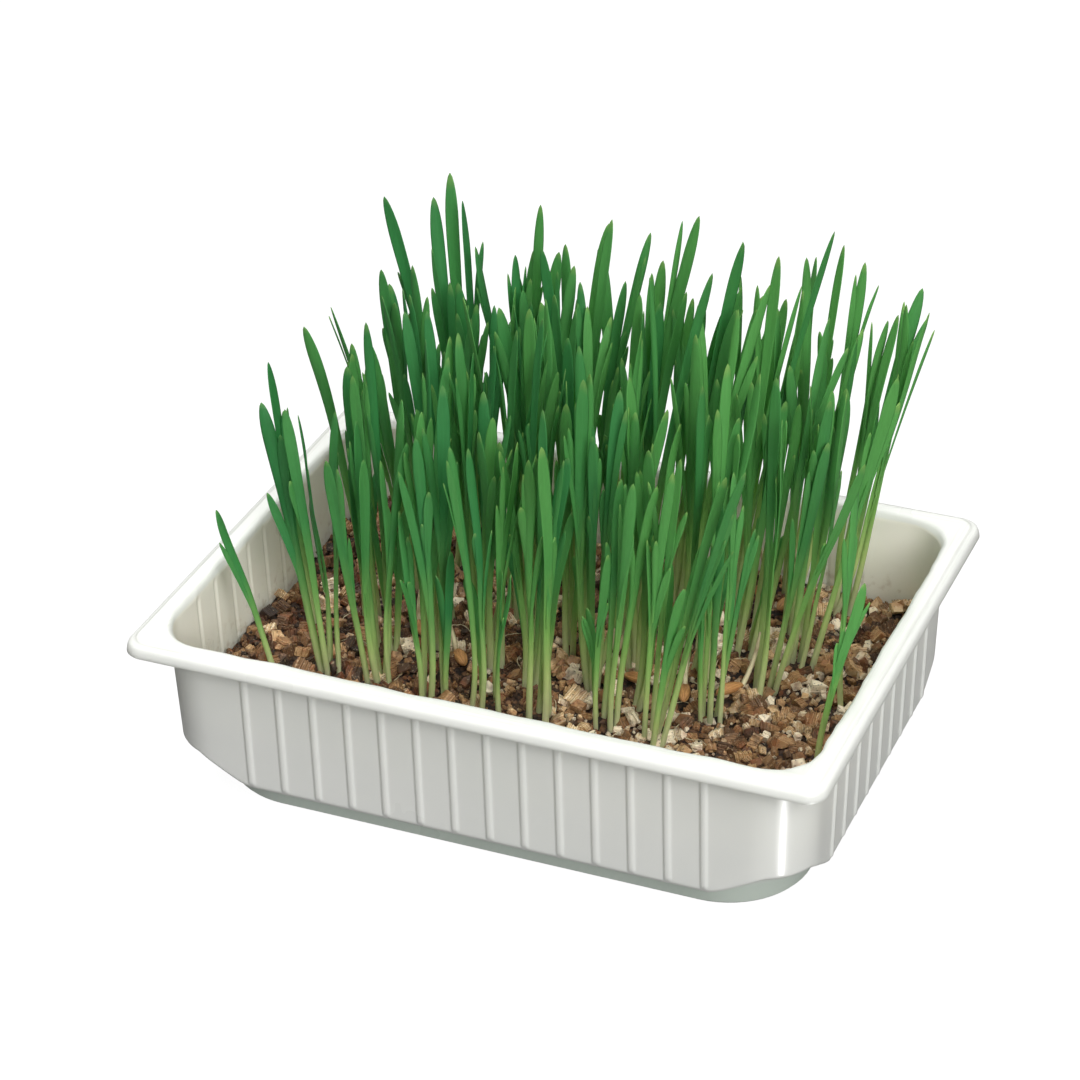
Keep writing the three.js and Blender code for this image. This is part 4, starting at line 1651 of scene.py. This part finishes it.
@dataclass
class VermiculiteBed:
    """The damp bed: a dark core with layers of granules strewn over it.

    Its sizes are in millimetres, and the rooms and the run, which are set against places, in metres.
    """

    layers: tuple[GranuleLayer, ...] = (
        GranuleLayer(
            "granules",
            (Granule.BOOK, Granule.CHIP),
            spacing=2.6,
            widths=(2.6, 5.8),
            sunk=0.7,
            raised=0.5,
            inset=9.6,
            drop=0.85,
        ),
        GranuleLayer(
            "large_granules",
            (Granule.BOOK,),
            spacing=6.5,
            widths=(4.6, 6.2),
            sunk=0.3,
            raised=0.4,
            inset=11.2,
            drop=0.6,
            thinned=0.7,
        ),
        GranuleLayer(
            "crumbs",
            (Granule.CRUMB,),
            spacing=1.5,
            widths=(1.0, 2.0),
            sunk=0.6,
            raised=0.6,
            inset=8.6,
            drop=1.1,
        ),
    )
    level: float = 25.0
    core_drop: float = 1.5
    core_bands: int = 46
    strewn_bands: int = 70
    side_points: tuple[int, int] = (60, 44)
    corner_gap: float = 1.5
    wall_gap: float = 0.3
    rim_inset: float = 7.5
    roughness: float = 0.35
    stalk_room: tuple[float, float] = (1.1 * MM, 2.2 * MM)
    grain_room: tuple[float, float] = (1.4 * MM, 2.6 * MM)
    thinning_run: tuple[float, float] = (-70 * MM, 30 * MM)
    packing: float = 3.0
    tray: RibbedTray = field(default_factory=RibbedTray)
    relief: BedRelief = field(default_factory=BedRelief)

    def outline(self, level: Level, steps: int = 10) -> np.ndarray:
        """A rounded rectangle with its corners lifted, as those of the tray are.

        Args:
            level: the rectangle's sizes.
            steps: points on each corner.

        Returns:
            Its points, evenly spread along the straights.
        """
        half = np.array([self.tray.length, self.tray.width]) / 2 - level.inset
        points: list[np.ndarray] = []
        for side in range(4):
            normal, tangent = side_directions(side)
            run = abs(tangent @ half) - level.radius
            reach = abs(normal @ half)
            places = np.linspace(-run, run, self.side_points[side % 2])
            turns = np.linspace(0, math.pi / 2, steps + 1)[1:-1]
            ways = np.outer(np.cos(turns), normal) + np.outer(np.sin(turns), tangent)
            straight = np.outer(places, tangent) + normal * reach
            corner = tangent * run + normal * (reach - level.radius) + ways * level.radius
            arc = np.minimum(turns, math.pi / 2 - turns) * self.tray.wall_corner
            rise = level.lift * self.tray.lifted(np.concatenate([abs(places) - run, arc]))
            points.append(np.column_stack([np.concatenate([straight, corner]), level.height + rise]))
        return np.concatenate(points)

    def surface(self, inset: float, drop: float, bands: int) -> tuple[np.ndarray, list[tuple[int, ...]]]:
        """The bed's top as rings that shrink to the middle.

        Args:
            inset: distance of its edge from the tray's flange.
            drop: how far it lies under the mean surface.
            bands: number of rings.

        Returns:
            Points in millimetres and faces, outermost ring first.
        """
        edge = self.outline(Level(inset, 0, self.tray.wall_corner - self.corner_gap))[:, :2]
        shares = 1 - np.arange(bands) / bands
        plan = np.concatenate([edge * share for share in shares] + [np.zeros((1, 2))])
        points = np.column_stack([plan, self.relief.at(plan[:, 0], plan[:, 1]) - drop])
        count = len(edge)
        faces = ring_faces(bands, count, ends=False)
        last = (bands - 1) * count
        faces += [(last + k, last + (k + 1) % count, len(points) - 1) for k in range(count)]
        return points, faces

    def core(self) -> bpy.types.Object:
        """The dark body of the bed under its granules.

        Returns:
            The piece.
        """
        corner, low = self.tray.wall_corner - self.corner_gap, self.tray.foot_corner - self.corner_gap
        lift, gap = self.tray.corner_lift, self.wall_gap
        lower = [
            Level(15.0 + gap, 1.2 + gap, low),
            Level(14.4 + gap, 8.0 + gap, low, 0.45 * lift),
            Level(10.7 + gap, 8.9 + gap, low - 5, 0.8 * lift),
            Level(8.8 + gap, 9.8 + gap, corner, lift),
            Level(8.1 + gap, 11.4 + gap, corner, lift),
            Level(7.6 + gap, 20.0, corner),
        ]
        rings = [self.outline(level) for level in lower]
        top, faces = self.surface(self.rim_inset + gap, self.core_drop, self.core_bands)
        x, y = top[:, 0], top[:, 1]
        top[:, 2] += self.roughness * (np.sin(x * 2.1) * np.sin(y * 2.4) + np.sin(x * 0.9 + y * 1.3))
        count = len(rings[0])
        skirt = ring_faces(len(rings) + 1, count, ends=False)
        under = [tuple(reversed(range(count)))]
        shifted = [tuple(len(rings) * count + k for k in face) for face in faces]
        mesh = new_mesh("bed_core", np.concatenate([*rings, top]) * MM, [*under, *skirt, *shifted])
        made = in_scene("bed_core", mesh)
        return finish_piece(made, ["vermiculite_bed"], DampBed().material())

    @staticmethod
    def granule(kind: Granule, number: int) -> bpy.types.Object:
        """One granule, 1 unit across, with its layers stacked along Z.

        Args:
            kind: the kind of granule.
            number: which of that kind.

        Returns:
            An object that isn't in the scene.
        """
        corners, layers = kind.value.corners, kind.value.layers
        rng = np.random.default_rng(SEED + 31 * number + 7 * corners + layers)
        angles = (np.arange(corners) + rng.uniform(-0.3, 0.3, corners)) * 2 * math.pi / corners
        reach = rng.uniform(0.38, 0.56, corners)
        oblong = rng.uniform(0.7, 1.0)
        height = rng.uniform(*kind.value.height)
        rings = 2 * layers + 1
        lean, curl = rng.uniform(-0.25, 0.25, 2), rng.uniform(-0.35, 0.35)
        points = []
        for k in range(rings):
            z = (k / (rings - 1) - 0.5) * height
            swell = (1.0 if k % 2 else 0.86) * rng.uniform(0.93, 1.05)
            if layers == 1:
                swell = (1.0 if k % 2 else 0.78) * rng.uniform(0.9, 1.08)
            spot = reach * swell * rng.uniform(0.94, 1.06, corners)
            x = np.cos(angles) * spot + lean[0] * z + curl * z * z
            y = np.sin(angles) * spot * oblong + lean[1] * z
            tilt = rng.uniform(-0.03, 0.03, corners)
            points.append(np.column_stack([x, y, z + tilt + curl * 0.5 * x * (z / height)]))
        rows = np.concatenate(points)
        mesh = new_mesh(f"{kind.value.title}_{number}", rows, ring_faces(rings, corners))
        add_values(mesh, "flake_place", rows)
        return bpy.data.objects.new(mesh.name, mesh)

    def granule_kinds(self, kinds: Sequence[Granule]) -> bpy.types.Collection:
        """Makes the granules of some kinds.

        Args:
            kinds: the kinds.

        Returns:
            A collection that holds them and isn't in the scene.
        """
        held = bpy.data.collections.new("granules_" + "_".join(kind.value.title for kind in kinds))
        for kind in kinds:
            for number in range(kind.value.variants):
                held.objects.link(self.granule(kind, number))
        return held

    @staticmethod
    def scatter_recipe() -> Recipe:
        """The tree that strews granules over a surface.

        Returns:
            The recipe.
        """
        sizes = ("Spacing", "Most", "Smallest", "Largest", "Sunk", "Raised")
        inputs = {title: ("NodeSocketFloat", None) for title in sizes}
        inputs |= {title: ("NodeSocketInt", 1) for title in ("Kinds", "Seed")}
        r = Recipe("strewn_granules", {"Granules": ("NodeSocketCollection", None), **inputs})
        points = r.node(
            "GeometryNodeDistributePointsOnFaces",
            {"distribute_method": "POISSON"},
            {
                "Mesh": r.input("Geometry"),
                "Distance Min": r.input("Spacing"),
                "Density Max": r.input("Most"),
                "Density Factor": r.stored("free", "FLOAT"),
                "Seed": r.input("Seed"),
            },
        )

        def draw(kind: str, low: Any, high: Any, step: int) -> Wire:
            """A random value for each granule.

            Args:
                kind: FLOAT, INT or FLOAT_VECTOR.
                low: its lowest value.
                high: its highest value.
                step: what keeps this draw apart from the others.

            Returns:
                The value.
            """
            first, output = {"FLOAT_VECTOR": (0, 0), "FLOAT": (2, 1), "INT": (4, 2)}[kind]
            seed = r.input("Seed") + step
            sockets = {first: low, first + 1: high, "Seed": seed}
            return r.node("FunctionNodeRandomValue", {"data_type": kind}, sockets, output)

        height = draw("FLOAT", r.input("Sunk") * -1.0, r.input("Raised"), 1)
        lift = r.node("ShaderNodeCombineXYZ", sockets={"Z": height})
        lifted = r.node("GeometryNodeSetPosition", sockets={"Geometry": points, "Offset": lift})
        held = r.node(
            "GeometryNodeCollectionInfo",
            sockets={"Collection": r.input("Granules"), "Separate Children": True, "Reset Children": True},
        )
        spread = r.input("Largest") - r.input("Smallest")
        size = draw("FLOAT", 0.0, 1.0, 2) ** 1.7 * spread + r.input("Smallest")
        turned = draw("FLOAT_VECTOR", (0.0, 0.0, 0.0), (FULL_TURN, FULL_TURN, FULL_TURN), 3)
        strewn = r.node(
            "GeometryNodeInstanceOnPoints",
            sockets={
                "Points": lifted,
                "Instance": held,
                "Pick Instance": True,
                "Instance Index": draw("INT", 0, r.input("Kinds") - 1.0, 4),
                "Rotation": r.node("FunctionNodeEulerToRotation", sockets={0: turned}),
                "Scale": size,
            },
        )
        sockets = {"Vector": r.node("GeometryNodeInputPosition"), "Scale": 100.0, "Detail": 2.0}
        clusters = r.node("ShaderNodeTexNoise", sockets=sockets)
        tone = draw("FLOAT", 0.0, 1.0, 5) * 0.64 + clusters.between(0.3, 0.7) * 0.44 - 0.04
        r.close(r.store(strewn, "flake_tone", tone, "FLOAT", "INSTANCE"))
        return r

    def free_surface(self, layer: GranuleLayer, feet: np.ndarray, grains: np.ndarray) -> bpy.types.Mesh:
        """The surface that granules are strewn on.

        Args:
            layer: the layer of granules.
            feet: the stalks, in plan.
            grains: points along the grains, in plan.

        Returns:
            The surface, with what is free of stalks and grains stored on it.
        """
        points, faces = self.surface(layer.inset, layer.drop, self.strewn_bands)
        mesh = new_mesh("strewn_surface", points * MM, faces)
        plan = points[:, :2] * MM

        def nearest(others: np.ndarray) -> np.ndarray:
            """Distance from each point to the nearest of some others."""
            return np.linalg.norm(plan[:, None] - others[None], axis=2).min(axis=1)

        free = smooth_step(*self.stalk_room, nearest(feet)) * smooth_step(*self.grain_room, nearest(grains))
        to_right = smooth_step(*self.thinning_run, plan[:, 0])
        add_values(mesh, "free", free * (1 - layer.thinned * to_right))
        return mesh

    def build(self, feet: np.ndarray, grains: np.ndarray) -> list[bpy.types.Object]:
        """Builds the core and the layers of granules.

        Args:
            feet: the stalks, in plan.
            grains: points along the grains, in plan.

        Returns:
            The pieces.
        """
        material = MicaFlakes().material()
        recipe = self.scatter_recipe()
        made = [self.core()]
        for number, layer in enumerate(self.layers, start=1):
            kinds = self.granule_kinds(layer.kinds)
            values = {
                "Granules": kinds,
                "Kinds": len(kinds.objects),
                "Spacing": layer.spacing * MM,
                "Most": self.packing / (layer.spacing * MM) ** 2,
                "Smallest": layer.widths[0] * MM,
                "Largest": layer.widths[1] * MM,
                "Sunk": layer.sunk * MM,
                "Raised": layer.raised * MM,
                "Seed": SEED + number,
            }
            piece = recipe.run(self.free_surface(layer, feet, grains), layer.name, material, values)
            made.append(finish_piece(piece, ["vermiculite_bed"], smooth=False))
            for item in list(kinds.objects):
                bpy.data.objects.remove(item)
            bpy.data.collections.remove(kinds)
        return made


# ---------------------------------------------------------------- grains


@dataclass
class HuskedGrains:
    """The grains on the bed, each with a crease and a blunt brush end.

    The girth, the bow and how far a grain is sunk are shares of its length, and the crease's width is an
    angle.
    """

    around: int = 20
    along: int = 22
    profile: tuple[tuple[float, float], ...] = (
        (0.0, 0.05),
        (0.06, 0.4),
        (0.25, 0.86),
        (0.5, 1.0),
        (0.75, 0.8),
        (0.94, 0.34),
        (1.0, 0.06),
    )
    girth: float = 0.172
    flatness: float = 0.88
    crease_depth: float = 0.2
    crease_width: float = 0.24
    bow: float = 0.05
    sunk: float = 0.02

    def axes(self, name: str) -> tuple[np.ndarray, np.ndarray, float]:
        """Centre, long direction and length of a grain of the frame.

        Args:
            name: the node's name.

        Returns:
            The three.
        """
        corners = [vertex.co for vertex in frame["nodes"][name].data.vertices]
        points = np.unique(np.round(corners, 6), axis=0)
        centre = (points.max(axis=0) + points.min(axis=0)) / 2
        _, _, directions = np.linalg.svd(points - points.mean(axis=0))
        long_way = directions[0] * (1 if directions[0][1] > 0 else -1)
        reach = (points - centre) @ long_way
        return centre, long_way, float(reach.max() - reach.min())

    def names(self) -> list[str]:
        """The grains of the frame."""
        return sorted(name for name in frame["nodes"] if name.startswith("grain_"))

    def lines(self) -> np.ndarray:
        """Points along all grains.

        Returns:
            The points, in plan.
        """
        found = []
        for name in self.names():
            centre, way, length = self.axes(name)
            found += [(centre + way * length * share)[:2] for share in (-0.4, -0.2, 0.0, 0.2, 0.4)]
        return np.array(found)

    def husk(self, name: str, rng: np.random.Generator) -> bpy.types.Object:
        """The body of one grain.

        Args:
            name: the node that it stands for.
            rng: the source of its random draws.

        Returns:
            The object.
        """
        centre, way, length = self.axes(name)
        side = unit(np.cross([0, 0, 1], way))
        up = np.cross(way, side)
        t = np.linspace(0, 1, self.along)
        size = along_curve(self.profile, t) * length * self.girth
        angle = np.arange(self.around) * 2 * math.pi / self.around
        roll = rng.uniform(-0.9, 0.9)
        off_crease = np.angle(np.exp(1j * (angle - math.pi / 2 - roll)))
        reach = 1 - self.crease_depth * np.exp(-((off_crease / self.crease_width) ** 2))
        rise = (self.bow * (1 - (2 * t - 1) ** 2) - self.sunk) * length
        ring = np.outer(np.cos(angle) * reach, side) + np.outer(np.sin(angle) * reach * self.flatness, up)
        points, place = [], []
        for k, share in enumerate(t):
            points.append(centre + way * (share - 0.5) * length + up * rise[k] + ring * size[k])
            around = [angle - roll, np.full_like(angle, share), np.zeros_like(angle)]
            place.append(np.column_stack(around))
        title = name.replace("grain", "husked_grain")
        mesh = new_mesh(title, np.concatenate(points), ring_faces(self.along, self.around))
        add_values(mesh, "grain_place", np.concatenate(place))
        return in_scene(title, mesh)

    def build(self) -> list[bpy.types.Object]:
        """Builds the grains.

        Returns:
            The pieces.
        """
        material = GrainHusk().material()
        made = []
        for number, name in enumerate(self.names()):
            rng = np.random.default_rng(SEED + 500 + number)
            made.append(finish_piece(self.husk(name, rng), [name], material))
        return made


# ---------------------------------------------------------------- roots


@dataclass
class RootHairs:
    """Thin pale roots that lie over the granules, and the sprouts of the grains.

    The lengths, the arch and the dip are in millimetres, and the other sizes in metres.
    """

    count: int = 40
    steps: int = 12
    radius: float = 0.14 * MM
    sprout_radius: float = 0.75 * MM
    sprout_height: float = 15 * MM
    sprout_reach: float = 0.9
    lengths: tuple[float, float] = (6.0, 15.0)
    bend: float = 0.25
    wander: float = 0.22
    arch: float = 0.6
    dip: float = 1.0

    def sprouts(
        self, grains: HuskedGrains, stand: GrassStand
    ) -> tuple[list[np.ndarray], list[np.ndarray]]:
        """Pale sprouts that rise from the grains and join the nearest stalk.

        Args:
            grains: the grains.
            stand: the shoots.

        Returns:
            The lines and their radii.
        """
        u = np.linspace(0, 1, self.steps)[:, None]
        lines, radii = [], []
        for name in grains.names():
            centre, way, length = grains.axes(name)
            end = centre + way * 0.46 * length
            height = end[2] + self.sprout_height
            joints = stand.stalks_at(height)
            joint = joints[np.argmin(np.linalg.norm(joints[:, :2] - end[:2], axis=1))]
            if np.linalg.norm(joint[:2] - end[:2]) > self.sprout_reach * self.sprout_height:
                continue
            bend = end + (way * 0.28 + np.array([0, 0, 0.4])) * self.sprout_height
            lines.append(end * (1 - u) ** 2 + bend * 2 * u * (1 - u) + joint * u**2)
            radii.append(self.sprout_radius * (1 - 0.3 * u[:, 0]))
        return lines, radii

    def paths(
        self, feet: np.ndarray, bed: VermiculiteBed, grains: HuskedGrains, stand: GrassStand
    ) -> bpy.types.Mesh:
        """Lines that wander from the feet of stalks over the bed, and those of the grains' sprouts.

        Args:
            feet: the stalks, in plan.
            bed: the bed that they lie on.
            grains: the grains.
            stand: the shoots.

        Returns:
            A mesh of edges only, with each point's radius stored on it.
        """
        rng = np.random.default_rng(SEED + 900)
        points: list[list[float]] = []
        thick: list[float] = []
        for foot in feet[rng.permutation(len(feet))[: self.count]]:
            heading, bend = rng.uniform(0, 2 * math.pi), rng.uniform(-self.bend, self.bend)
            place = foot + 1.0 * MM * np.array([math.cos(heading), math.sin(heading)])
            step = rng.uniform(*self.lengths) * MM / self.steps
            for k in range(self.steps):
                t = k / (self.steps - 1)
                x, y = place / MM
                arch = math.sin(math.pi * t) ** 0.7 * rng.uniform(0.9, 1.1)
                height = float(bed.relief.at(x, y)) + self.arch * arch - self.dip * (1 - arch)
                points.append([*place, height * MM])
                thick.append(self.radius * (1 - 0.75 * t))
                heading += bend + rng.uniform(-self.wander, self.wander)
                place = place + step * np.array([math.cos(heading), math.sin(heading)])
        for line, radii in zip(*self.sprouts(grains, stand)):
            points += line.tolist()
            thick += radii.tolist()
        edges = line_edges(len(points) // self.steps, self.steps)
        mesh = new_mesh("root_paths", np.array(points), edges=edges)
        add_values(mesh, "thick", np.array(thick))
        return mesh

    @staticmethod
    def tube_recipe() -> Recipe:
        """The tree that turns lines into thin closed tubes.

        Returns:
            The recipe.
        """
        r = Recipe("root_tube", {"Sides": ("NodeSocketInt", 5)})
        r.close(r.swept({"Profile Curve": r.circle("Sides"), "Scale": r.stored("thick", "FLOAT")}))
        return r

    def build(
        self, feet: np.ndarray, bed: VermiculiteBed, grains: HuskedGrains, stand: GrassStand
    ) -> bpy.types.Object:
        """Builds the root hairs and the sprouts.

        Args:
            feet: the stalks, in plan.
            bed: the bed that they lie on.
            grains: the grains.
            stand: the shoots.

        Returns:
            The piece.
        """
        paths = self.paths(feet, bed, grains, stand)
        made = self.tube_recipe().run(paths, "root_hairs", FineRoot().material())
        return finish_piece(made, [])


# ---------------------------------------------------------------- studio


@dataclass
class Lamp:
    """A soft rectangular lamp that points at its target, with its place in degrees and metres from it."""

    name: str
    azimuth: float
    elevation: float
    distance: float
    size: tuple[float, float]
    power: float
    colour: Colour = (255, 255, 255)
    target: tuple[float, float, float] = (0.0, 0.0, 0.05)
    only_gloss: bool = False

    def build(self) -> bpy.types.Object:
        """Makes the lamp.

        Returns:
            The lamp's object.
        """
        light = bpy.data.lights.new(self.name, "AREA")
        light.shape = "RECTANGLE"
        light.size, light.size_y = self.size
        light.energy = self.power
        light.color = paint(self.colour)[:3]
        made = in_scene(self.name, light)
        back = line_of_sight(self.azimuth, self.elevation)
        made.location = Vector(self.target) + back * self.distance
        made.rotation_euler = back.to_track_quat("Z", "Y").to_euler()
        made.visible_camera = not self.only_gloss
        made.visible_diffuse = not self.only_gloss
        made.visible_transmission = not self.only_gloss
        return made


@dataclass
class Studio:
    """Floor, lamps, surrounding light and camera."""

    azimuth: float = 23.05
    elevation: float = 30.96
    roll: float = -1.23
    distance: float = 0.8875
    lens: float = 114.1
    sensor: float = 36.0
    clip: tuple[float, float] = (0.05, 20.0)
    target: tuple[float, float, float] = (-0.00725, 0.00265, 0.0588)
    floor_half: float = 12.0
    floor_glow: float = 0.95
    backdrop_height: float = 5.0
    backdrop_glow: float = 1.0
    surround: float = 0.21
    lamps: tuple[Lamp, ...] = (
        Lamp(
            "overhead",
            azimuth=-60.0,
            elevation=80.0,
            distance=1.3,
            size=(1.2, 1.2),
            power=16.0,
            colour=(255, 254, 251),
        ),
        Lamp(
            "right_front",
            azimuth=43.0,
            elevation=30.0,
            distance=1.5,
            size=(0.8, 0.8),
            power=19.0,
            colour=(255, 254, 252),
        ),
        Lamp("back_fill", azimuth=200.0, elevation=40.0, distance=1.5, size=(1.0, 1.0), power=7.0),
        Lamp(
            "corner_glint",
            azimuth=51.0,
            elevation=-34.0,
            distance=0.026,
            size=(0.0026, 0.027),
            power=0.012,
            target=(0.0811, -0.0589, 0.03),
            only_gloss=True,
        ),
    )

    def build(self) -> None:
        """Sets the scene up round the tray."""
        self.build_stage()
        for lamp in self.lamps:
            lamp.build()
        self.build_surround()
        self.build_camera()
        view = bpy.context.scene.view_settings
        view.view_transform = "Standard"
        view.look = "None"

    def build_stage(self) -> None:
        """Makes the floor and the far backdrop round it, which light nothing and cast no reflection."""
        corners = np.array([[-1, -1, 0], [1, -1, 0], [1, 1, 0], [-1, 1, 0]]) * self.floor_half
        floor = in_scene("floor", new_mesh("floor", corners, [(0, 1, 2, 3)]))
        walls = np.concatenate([corners, corners + [0, 0, self.backdrop_height]])
        sides = [(k, k + 4, (k + 1) % 4 + 4, (k + 1) % 4) for k in range(4)]
        backdrop = in_scene("backdrop", new_mesh("backdrop", walls, sides))
        backdrop.visible_shadow = False
        backdrop.visible_transmission = False
        for stage, glow in ((floor, self.floor_glow), (backdrop, self.backdrop_glow)):
            stage.data.materials.append(PaleFloor(glow=glow).material())
            stage.visible_diffuse = False
            stage.visible_glossy = False

    def build_surround(self) -> None:
        """Lights the scene evenly from all round."""
        world = bpy.data.worlds.new("soft_white")
        world.use_nodes = True
        background = world.node_tree.nodes["Background"]
        background.inputs["Color"].default_value = (1.0, 1.0, 1.0, 1.0)
        background.inputs["Strength"].default_value = self.surround
        bpy.context.scene.world = world

    def build_camera(self) -> None:
        """Places the camera on its line of sight, with its small roll."""
        azimuth, roll = math.radians(self.azimuth), math.radians(self.roll)
        back = line_of_sight(self.azimuth, self.elevation)
        level = Vector((math.cos(azimuth), math.sin(azimuth), 0))
        up = back.cross(level)
        right = level * math.cos(roll) + up * math.sin(roll)
        turned = Matrix((right, back.cross(right), back)).transposed()
        data = bpy.data.cameras.new("camera")
        data.sensor_width = self.sensor
        data.lens = self.lens
        data.clip_start, data.clip_end = self.clip
        camera = in_scene("camera", data)
        spot = Vector(self.target) + back * self.distance
        camera.matrix_world = Matrix.Translation(spot) @ turned.to_4x4()
        bpy.context.scene.camera = camera


# ---------------------------------------------------------------- whole


def main() -> None:
    """Builds the tray, the bed, the grains, the shoots and the studio, in that order."""
    logging.basicConfig(level=logging.INFO, format="%(name)s: %(message)s")
    stand = GrassStand()
    stand.read_frame()
    grains = HuskedGrains()
    bed = VermiculiteBed()
    feet = stand.stalks_at(bed.level * MM)[:, :2]
    RibbedTray().build()
    bed.build(feet, grains.lines())
    grains.build()
    RootHairs().build(feet, bed, grains, stand)
    stand.build()
    Studio().build()


if __name__ == "__main__":
    main()
